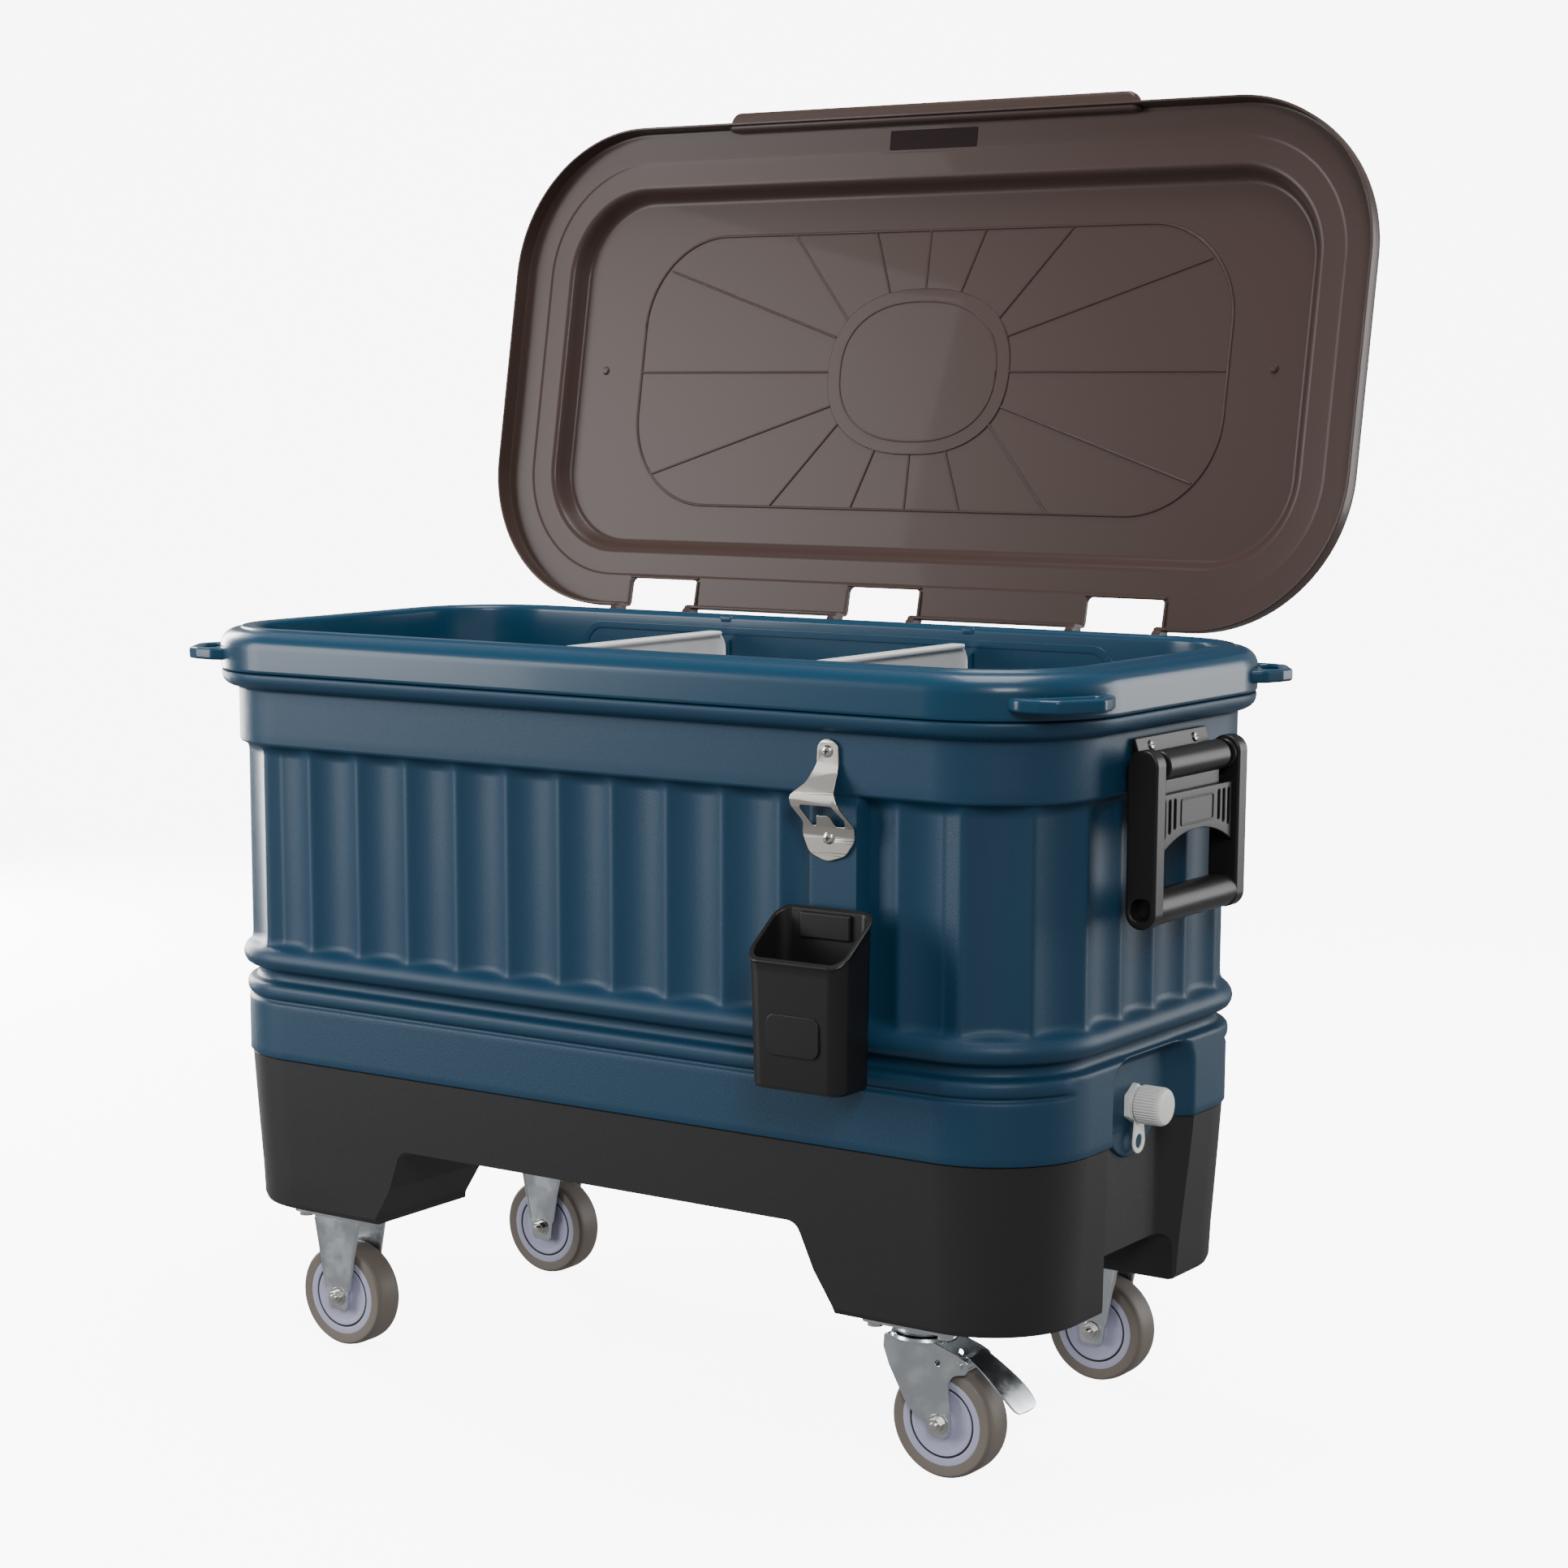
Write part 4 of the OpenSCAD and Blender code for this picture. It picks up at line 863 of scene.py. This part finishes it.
# %% [markdown]
# The forks are bent sheet, so each is a set of plates with rounded edges that meet
# at the bends, and every axle has a washer, a nut and a short end of thread.

# %% Forks, axles and brake
PLATE_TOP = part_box("swivel_plate")[1].z
THICK = 2.6 * MM
HALF_GAP = 18.5 * MM


def axle(name, centre):
    x, y, z = centre
    bits = []
    for side in (-1, 1):
        seat = y + side * 21.1 * MM
        bits.append(turned("washer", [(4 * MM, 0), (9 * MM, 0), (9.3 * MM, side * 0.6 * MM),
            (9 * MM, side * 1.3 * MM), (4 * MM, side * 1.3 * MM)], (x, seat, z), segments=48))
        nut = [(6.9 * MM * math.cos(math.radians(60 * k + 12)),
            6.9 * MM * math.sin(math.radians(60 * k + 12))) for k in range(6)]
        bits.append(plate("nut", fillet(nut, 0.6 * MM, 2), [], 5 * MM, 0.5 * MM,
            frontal(seat + side * 3.4 * MM, x, z)))
        end = [(0.05, 9.6), (2.6, 9.5), (3.6, 8.8), (3.7, 8.4), (3.3, 8.1), (3.7, 7.7), (3.3, 7.3),
            (3.7, 6.9), (3.7, 4)]
        bits.append(turned("thread", [(r * MM, side * w * MM) for r, w in end], (x, seat, z), segments=32,
            closed=False))
    return joined(name, bits)


def top_plate(x, y):
    shape = fillet(mm(corners(-47, -33, 47, 33)), 7 * MM)
    holes = [disc(dx * MM, dy * MM, 4.4 * MM, 24) for dx in (-36, 36) for dy in (-24, 24)]
    return plate("top_plate", shape, holes, 3.4 * MM, 0.7 * MM, level(PLATE_TOP - 1.8 * MM, x, y))


for corner_name in ("front_left", "back_left", "back_right"):
    low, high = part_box(corner_name + "_tyre")
    x, y, z = (low + high) / 2
    top = PLATE_TOP - 3.4 * MM
    bits = [top_plate(x, y)]
    cheek = fillet([(x - 29 * MM, top), (x - 29 * MM, top - 8 * MM), (x - 14 * MM, z + 4 * MM),
        (x - 12 * MM, z - 13.5 * MM), (x + 12 * MM, z - 13.5 * MM), (x + 14 * MM, z + 4 * MM),
        (x + 29 * MM, top - 8 * MM), (x + 29 * MM, top)], mm([0, 6, 8, 6, 6, 8, 6, 0]))
    for side in (-1, 1):
        bits.append(plate("cheek", cheek, [], THICK, 0.8 * MM, frontal(y + side * (HALF_GAP + 1.3 * MM))))
        for edge in (-1, 1):
            bits.append(tube("flange",
                [(x + edge * 27.5 * MM, y + side * (HALF_GAP + 1.6 * MM), top - 6 * MM),
                (x + edge * 14.4 * MM, y + side * (HALF_GAP + 1.6 * MM), z + 8 * MM)], 2 * MM, 10))
    dress(joined(corner_name + "_fork_skin", bits), "cooler", [corner_name + "_fork"], "fork_zinc")
    dress(axle(corner_name + "_axle_skin", (x, y, z)), "cooler", [corner_name + "_axle"], "fastener_steel")

low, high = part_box("front_right_tyre")
x, y, z = (low + high) / 2
pivot = JOINTS["caster_swivel"]["pos_m"]
brake = JOINTS["brake_press"]["pos_m"]
px = pivot[0]
bits = [top_plate(px, pivot[1])]
bits.append(turned("upper_race", mm([(10, 0), (26, 0), (28, -1.5), (28.5, -4.5), (27, -6.6), (10, -6.6)]),
    (px, pivot[1], PLATE_TOP - 3.2 * MM), axis="Z", segments=72))
dress(joined("swivel_plate_skin", bits), "cooler", ["swivel_plate"], "fork_zinc")

bits = [turned("lower_race", mm([(7, 127.4), (24, 127.4), (29, 126), (30, 123.4), (29.5, 121), (7, 121)]),
    (px, pivot[1], 0), axis="Z", segments=72)]
crown = fillet(corners(px - 28 * MM, y - 20 * MM, px + 24 * MM, y + 20 * MM), 4 * MM)
bits.append(plate("crown", crown, [], 3 * MM, 0.8 * MM, level(122.4 * MM)))
P, X = px / MM, x / MM
cheek = [(P - 29, 124), (P - 30, 112), (P - 24, 96), (P - 5, 62), (X - 13, 49), (X - 9, 38.5), (X + 8, 38),
    (X + 13, 48), (X + 11.5, 70), (X + 9.5, 89), (P + 42, 97), (P + 55, 99.5), (P + 57, 111),
    (P + 46, 116), (P + 20, 124)]
cheek = fillet(mm(cheek), [v * MM for v in (2, 8, 20, 30, 14, 11, 11, 14, 30, 9, 10, 5, 5, 8, 4)], 8)
rivet_hole = disc((P + 26) * MM, 106 * MM, 2.6 * MM, 24)
for side in (-1, 1):
    bits.append(plate("cheek", cheek, [rivet_hole], THICK, 0.8 * MM,
        frontal(y + side * (HALF_GAP + 1.3 * MM))))
dress(joined("swivel_fork_skin", bits), "swivel_fork", ["swivel_fork"], "fork_zinc")
dress(axle("front_right_axle_skin", (x, y, z)), "swivel_fork", ["front_right_axle"], "fastener_steel")

# The foot lever is a bent tread plate on a barrel between the fork's ears
BX, BZ = brake[0] / MM, brake[2] / MM
half = 17.5
shape = [(0, 6.2), (8, 4.4), (24, -6.5), (40, -19), (52, -31), (56.5, -37)]
thick = 2.4
rings = []
for k, (u, w) in enumerate(shape):
    before, after = shape[max(k - 1, 0)], shape[min(k + 1, len(shape) - 1)]
    t = np.array((after[0] - before[0], after[1] - before[1]), float)
    t /= np.linalg.norm(t)
    n = np.array((-t[1], t[0]))
    spread = (14.5, 15.5, 17.5, 21, 20, 15)[k]
    ring = []
    for v, d in ((-spread, 0.4), (-spread + 1, 0), (spread - 1, 0), (spread, 0.4), (spread, thick - 0.4),
            (spread - 1, thick), (-spread + 1, thick), (-spread, thick - 0.4)):
        ring.append(((BX + u + n[0] * d) * MM, y + v * MM, (BZ + w + n[1] * d) * MM))
    rings.append(np.array(ring))
tread_plate = loft("pedal", rings, cap=(True, True), sharp=40)
sub = tread_plate.modifiers.new("round", "SUBSURF")
sub.levels = sub.render_levels = 2
mesh = settled(tread_plate)
bpy.data.objects.remove(tread_plate)
tread_plate = shown("pedal", mesh)
barrel = turned("barrel", [(3.1 * MM, -half * MM), (5.6 * MM, -half * MM), (6 * MM, (-half + 0.6) * MM),
    (6 * MM, (half - 0.6) * MM), (5.6 * MM, half * MM), (3.1 * MM, half * MM)], (BX * MM, y, BZ * MM),
    segments=48)
cam = block("cam", ((BX - 3) * MM, y - 13 * MM, (BZ - 8) * MM),
    ((BX + 2) * MM, y + 13 * MM, (BZ - 2) * MM), 1.2 * MM)
dress(joined("brake_lever_skin", [tread_plate, barrel, cam]), "brake_lever", ["brake_lever"], "fork_zinc")

# %% [markdown]
# ## Bottle opener
# Cut and bent from one strip of stainless steel: a round tab screwed to the band, a
# shoulder that folds forward, an opening with a tongue in it that grips the cap, and
# a round lower lobe with the second screw.

# %% Bottle opener
OX = STATION - 5 * MM
BACK = -HY - 8 * MM


def strip_point(u, z):
    """Where the bent strip lies: its distance out from the band at height z."""
    heights = [552, 566, 573, 590, 597, 604, 620, 629, 650]
    outs = [1.6, 1.8, 3.5, 13.2, 14.4, 13.0, 4.4, 1.7, 1.6]
    return (u * MM, BACK - float(np.interp(z, heights, outs)) * MM, z * MM)


ox = OX / MM
silhouette = fillet([(ox - 10, 649), (ox - 10.5, 628), (ox - 17, 612), (ox - 31, 600), (ox - 30, 592),
    (ox - 22, 578), (ox - 25, 566), (ox - 18, 550), (ox, 543), (ox + 19, 549), (ox + 28, 562),
    (ox + 29, 574), (ox + 20, 590), (ox + 13.5, 604), (ox + 12, 622), (ox + 11, 649)],
    [10, 8, 12, 5, 6, 6, 10, 12, 16, 12, 10, 9, 8, 10, 8, 10], 6)
window = fillet([(ox - 22, 592.5), (ox + 12, 592.5), (ox + 22, 580), (ox + 20, 574.5), (ox + 10, 574.5),
    (ox + 7, 584), (ox - 6, 584), (ox - 9, 574.5), (ox - 13, 574.5)], [2.5, 2.5, 3, 2, 3, 3, 3, 2, 2], 4)
strip = plate("opener_skin", silhouette, [window, disc(ox, 638.5, 2.6, 24), disc(ox + 2, 564, 2.6, 24)],
    2.4, 0.7, Matrix.Identity(4), sharp=40)
fine = bmesh.new()
fine.from_mesh(strip.data)
bmesh.ops.triangulate(fine, faces=fine.faces)
for z in (552, 560, 566, 570, 573, 580, 586, 590, 594, 597, 600, 604, 610, 615, 620, 625, 629):
    geom = list(fine.verts) + list(fine.edges) + list(fine.faces)
    bmesh.ops.bisect_plane(fine, geom=geom, plane_co=(0, z, 0), plane_no=(0, 1, 0))
for v in fine.verts:
    u, z, out = v.co
    v.co = Vector(strip_point(u, z)) + Vector((0, -out * MM, 0))
bmesh.ops.recalc_face_normals(fine, faces=fine.faces)
fine.to_mesh(strip.data)
fine.free()
smooth(strip.data, 40)
dress(strip, "cooler", ["bottle_opener"], "opener_steel")


def cross_head(centre, right, up, r=5.4 * MM, dome=2.6 * MM):
    """A pan head lying in the plane of right and up, with a flat black cross on its dome as painted shade for its
    cross recess.
    """
    place = stands(centre, right, up)
    head = turned("head", [(r, -0.2 * MM), (r, 0.5 * MM), (r * 0.94, 1.3 * MM), (r * 0.75, dome * 0.82),
        (r * 0.45, dome), (0.02 * MM, dome)], (0, 0, 0), axis="Z", segments=48, closed=False)
    a, b = r * 0.5, r * 0.13
    cross = [(a, b), (b, b), (b, a), (-b, a), (-b, b), (-a, b), (-a, -b), (-b, -b), (-b, -a), (b, -a),
        (b, -b), (a, -b)]
    # the recess is not cut: a thin black cross laid on the dome is painted shade where the hollow would be
    recess = plate("recess", fillet(cross, b * 0.4, 2), [], 0.5 * MM, 0.05 * MM,
        Matrix.Translation((0, 0, dome - 0.1 * MM)))
    for piece in (head, recess):
        piece.data.transform(place)
    return head, recess


def screws(name, body, nodes, places, r=5.4 * MM, dome=2.6 * MM):
    heads, shade_marks = [], []
    for centre, right, up in places:
        h, m = cross_head(centre, right, up, r, dome)
        heads.append(h)
        shade_marks.append(m)
    dress(joined(name, heads), body, nodes, "fastener_steel")
    # the black crosses are painted shade for the heads' cross recesses
    dress(joined(name + "_recess", shade_marks), body, [], "seal_black")


screws("opener_screw_heads", "cooler", ["opener_screws"],
    [((OX, BACK - 2.8 * MM, 638.5 * MM), (1, 0, 0), (0, 0, 1)),
    ((OX + 2 * MM, BACK - 3.0 * MM, 564 * MM), (1, 0, 0), (0, 0, 1))])
places = []
for sx in (-1, 1):
    for sy in (-1, 1):
        # the bracket's face leans back, so the screw heads lean with it
        right = Vector((0, sx, 0))
        up = Vector((-0.31 * sx, 0, 0.95)).normalized()
        places.append(((sx * (BAND_X + 6.8 * MM), sy * 41 * MM, 641 * MM), right, up))
screws("handle_screw_heads", "cooler", ["handle_screws"], places, r=4.4 * MM, dome=2 * MM)

# %% [markdown]
# ## Catch bin
# A thin-walled tapering bin. Its open top slopes down to the front, the rim is
# rounded over, and a tab at the back hooks on the hanger plate.

# %% Catch bin
bin_low, bin_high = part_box("catch_bin")
BX0 = (bin_low.x + bin_high.x) / 2
bin_front = bin_low.y
bin_back = bin_front + 56 * MM
BY0 = (bin_front + bin_back) / 2
ZL, ZH, ZF = bin_low.z, 505 * MM, 465 * MM


def bin_ring(inset, t, lift=0.0):
    """t is 0 at the floor and 1 at the sloping rim."""
    half = (46.5 + 2.5 * t) * MM - inset
    deep = (26.6 + 1.4 * t) * MM - inset
    ring = rounded(half, deep, max(14 * MM - inset, 3 * MM), 0, 12)
    y = ring[:, 1] + BY0 - (1 - t) * -1.2 * MM
    rim = ZF + (ZH - ZF) * np.clip((y - bin_front) / (bin_back - bin_front), 0, 1)
    z = (ZL + lift) + t * (rim - ZL - lift)
    return np.stack([ring[:, 0] + BX0, y, z], 1)


rings = [bin_ring(4 * MM, 0, 0), bin_ring(1.4 * MM, 0, 0.8 * MM), bin_ring(0.2 * MM, 0, 3 * MM),
    bin_ring(0, 0.03)]
rings += [bin_ring(0, t) for t in (0.25, 0.5, 0.75, 0.9, 0.962)]
rings += [bin_ring(-1.0 * MM, 0.972), bin_ring(-1.6 * MM, 0.985), bin_ring(-1.2 * MM, 0.997),
    bin_ring(0, 1.0), bin_ring(2.4 * MM, 1.0), bin_ring(3 * MM, 0.994)]
rings += [bin_ring(3 * MM, t) for t in (0.9, 0.6, 0.3, 0.1)] + [bin_ring(3.6 * MM, 0.03, 4 * MM),
    bin_ring(7 * MM, 0.0, 4 * MM)]
bin_skin = loft("bin_wall", rings, cap=(True, True), sharp=45)
hook = block("hook", (BX0 - 20 * MM, bin_back - 3 * MM, 492.4 * MM),
    (BX0 + 20 * MM, bin_back + 6.4 * MM, 496.4 * MM), 1 * MM)
tab = block("tab", (BX0 - 20 * MM, bin_back + 4.1 * MM, 479 * MM),
    (BX0 + 20 * MM, bin_back + 6.4 * MM, 496.4 * MM), 0.8 * MM)
roll = block("back_roll", (BX0 - 26 * MM, bin_back - 6.5 * MM, 478 * MM),
    (BX0 + 26 * MM, bin_back - 2 * MM, 501 * MM), 2 * MM)
badge = fillet(corners(BX0 - 27 * MM, 384 * MM, BX0 + 27 * MM, 420 * MM), 9 * MM, 8)
blank = plate("blank_badge", badge, [], 2.4 * MM, 0.9 * MM, frontal(bin_front + 1.0 * MM))
dress(joined("bin_skin", [bin_skin, hook, tab, roll, blank]), "catch_bin", ["catch_bin"], "bin_black")

# %% [markdown]
# ## Drain
# A hex-flanged spout through the end wall, a ribbed cap, and a strap with an eye at
# each end, so that the cap isn't lost.

# %% Drain
flange_x = HX - NOTCH_DEEP + 3.2 * MM
hexagon = [(18.6 * MM * math.cos(math.radians(60 * k + 30)),
    18.6 * MM * math.sin(math.radians(60 * k + 30))) for k in range(6)]
flange = plate("flange", fillet(hexagon, 2 * MM, 4), [disc(0, 0, 9 * MM, 48)], 6 * MM, 0.8 * MM,
    endwise(flange_x + 3 * MM, z=DRAIN_Z))
neck = turned("neck", mm(corners(9, 0, 12, 18)), (flange_x + 2 * MM, 0, DRAIN_Z), axis="X", segments=64)
shank = turned("shank", mm(corners(9, 0, 12, 48)), (drain_low.x, 0, DRAIN_Z), axis="X", segments=64)
dress(joined("spout_skin", [flange, neck, shank]), "cooler", ["drain_spout"], "drain_white")
cap_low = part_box("drain_cap")[0]
ribs = 40
rings = []
for out, h, rib in ((12.4, 0.2, 0), (16.0, 0, 0), (16.6, 0.7, 0.3), (16.6, 2.2, 1), (16.5, 21, 1),
        (16.3, 23, 0.6), (15.8, 24.6, 0.1), (14.6, 25.6, 0), (10, 26, 0), (0.4, 26, 0)):
    a = np.linspace(0, 2 * math.pi, ribs * 8, endpoint=False)
    r = (out + 0.9 * rib * np.clip(np.cos(ribs * a) * 1.4 + 0.2, -0.4, 1)) * MM
    rings.append(np.stack([np.full(len(a), cap_low.x + h * MM), r * np.cos(a), DRAIN_Z + r * np.sin(a)], 1))
cap = loft("cap_skin", rings, cap=(False, True), sharp=50)
dress(cap, "drain_cap", ["drain_cap"], "drain_white")
strap_loop = disc(0, 0, 16 * MM, 64)
strap_loop = [(x, y) for x, y in strap_loop if not (y < -13 * MM)]
start = [i for i in range(len(strap_loop)) if strap_loop[i][1] < 0 and strap_loop[i][0] < 0][-1]
left_part = mm([(-8, -15), (-10.5, -30)]) + [(11 * MM * math.cos(a), -34 * MM + 11 * MM * math.sin(a))
    for a in np.linspace(math.pi * 1.0, math.pi * 2.0, 16)] + mm([(10.5, -30), (8, -15)])
strap = strap_loop[:start + 1] + left_part + strap_loop[start + 1:]
strap = plate("tether_skin", strap, [disc(0, 0, 12.3 * MM, 48), disc(0, -34 * MM, 6.6 * MM, 40)], 1.8 * MM,
    0.5 * MM, endwise(flange_x + 7 * MM, z=DRAIN_Z))
dress(strap, "cooler", ["drain_tether"], "drain_white")

# %% [markdown]
# ## Dividers
# Each divider is a white sheet with a thick rounded edge and a slot to lift it by.

# %% Dividers
for name in ("left_divider", "right_divider"):
    low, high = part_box(name)
    x = (low.x + high.x) / 2
    w = high.y
    n, shelf = w - 16 * MM, LEDGE + 0.3 * MM
    outer = fillet([(-n, low.z), (n, low.z), (n, shelf), (w, shelf), (w, high.z), (-w, high.z),
        (-w, shelf), (-n, shelf)], mm([4, 4, 2, 3, 22, 22, 3, 2]), 12)
    slot_hole = fillet(mm(corners(-69, 660.5, 69, 677.5)), 8 * MM, 8)
    sheet = plate("sheet", outer, [slot_hole], 3 * MM, 0.8 * MM, endwise(x))
    path = fillet([(-w + 3 * MM, shelf + 3 * MM), (-w + 3 * MM, high.z - 2.7 * MM),
        (w - 3 * MM, high.z - 2.7 * MM), (w - 3 * MM, shelf + 3 * MM)], mm([0, 19, 19, 0]), 12)
    edge = tube("edge", [(x, yy, zz) for yy, zz in path], 2.6 * MM, 12)
    rail = block("rail", (x - 8 * MM, -w + 16 * MM, high.z - 4.6 * MM), (x + 8 * MM, w - 16 * MM, high.z),
        1.8 * MM)
    dress(joined(name + "_skin", [sheet, edge, rail]), name, [name], "white")

# %% [markdown]
# ## Studio
# A plain bright floor that runs up into the background, soft lights from the left
# front, the left, behind the drain end, above and the right front, and a camera at
# standing height in front of the drain end.

# %% Studio
def area(name, place, aim, size, power):
    light = bpy.data.lights.new(name, "AREA")
    light.shape, light.size, light.size_y, light.energy = "RECTANGLE", size[0], size[1], power
    obj = shown(name, light)
    obj.location = place
    obj.rotation_euler = (Vector(aim) - Vector(place)).to_track_quat("-Z", "Y").to_euler()
    return obj


STAGE, t, s = material("studio floor", (0.95, 0.95, 0.95), 0.8)
s.inputs["Emission Color"].default_value = (1, 1, 1, 1)
s.inputs["Emission Strength"].default_value = 7.5
grain(t, s, 8, 0.02)
work = bmesh.new()
VIEW_TURN = math.radians(35)
ahead = np.array((-math.sin(VIEW_TURN), math.cos(VIEW_TURN)))
across = np.array((math.cos(VIEW_TURN), math.sin(VIEW_TURN)))
sweep = [(-6, 0)] + [(3.5, 0)] + [(3.5 + 2 * math.sin(a), 2 - 2 * math.cos(a))
    for a in np.linspace(0.1, math.pi / 2, 16)] + [(5.5, 9)]
rows = [[work.verts.new((*(ahead * d + across * w), h)) for w in (-9, 9)] for d, h in sweep]
for a, b in zip(rows, rows[1:]):
    work.faces.new((a[0], a[1], b[1], b[0]))
mesh = bpy.data.meshes.new("studio_floor")
work.to_mesh(mesh)
work.free()
mesh.shade_smooth()
floor = shown("studio_floor", mesh)
mesh.materials.append(STAGE)
# it is a backdrop only, and doesn't light the cooler
floor.visible_diffuse = floor.visible_glossy = False
floor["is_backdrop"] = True

world = bpy.data.worlds.new("studio")
world.use_nodes = True
world.node_tree.nodes["Background"].inputs["Color"].default_value = (1, 1, 1, 1)
world.node_tree.nodes["Background"].inputs["Strength"].default_value = 0.32
bpy.context.scene.world = world
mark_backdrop(area("key", (-2.6, -2.3, 1.2), (-0.1, 0, 0.5), (1.5, 2.2), 100),
    area("strip", (-3.3, 1.0, 1.1), (-0.2, 0, 0.5), (1.0, 2.2), 190),
    area("side", (2.3, 2.5, 1.0), (0.4, 0, 0.5), (1.6, 1.9), 60),
    area("top", (0.2, 0.1, 3.6), (0, 0, 0.4), (2.5, 1.5), 110),
    area("fill", (2.6, -2.9, 2.5), (0.1, 0, 0.5), (1.2, 1.2), 85))

camera = bpy.data.cameras.new("camera")
camera.lens, camera.sensor_width = 74.24, 36
camera.shift_x, camera.shift_y = 0.0345, 0.0577
camera.dof.use_dof = False
holder = shown("camera", camera)
VIEW_DROP = math.radians(8.6)
holder.location = (1.7713, -2.5124, 0.9464)
holder.rotation_euler = (math.pi / 2 - VIEW_DROP, 0, VIEW_TURN)
bpy.context.scene.camera = holder

low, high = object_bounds()
print("shown", [round(v, 3) for v in low], [round(v, 3) for v in high])
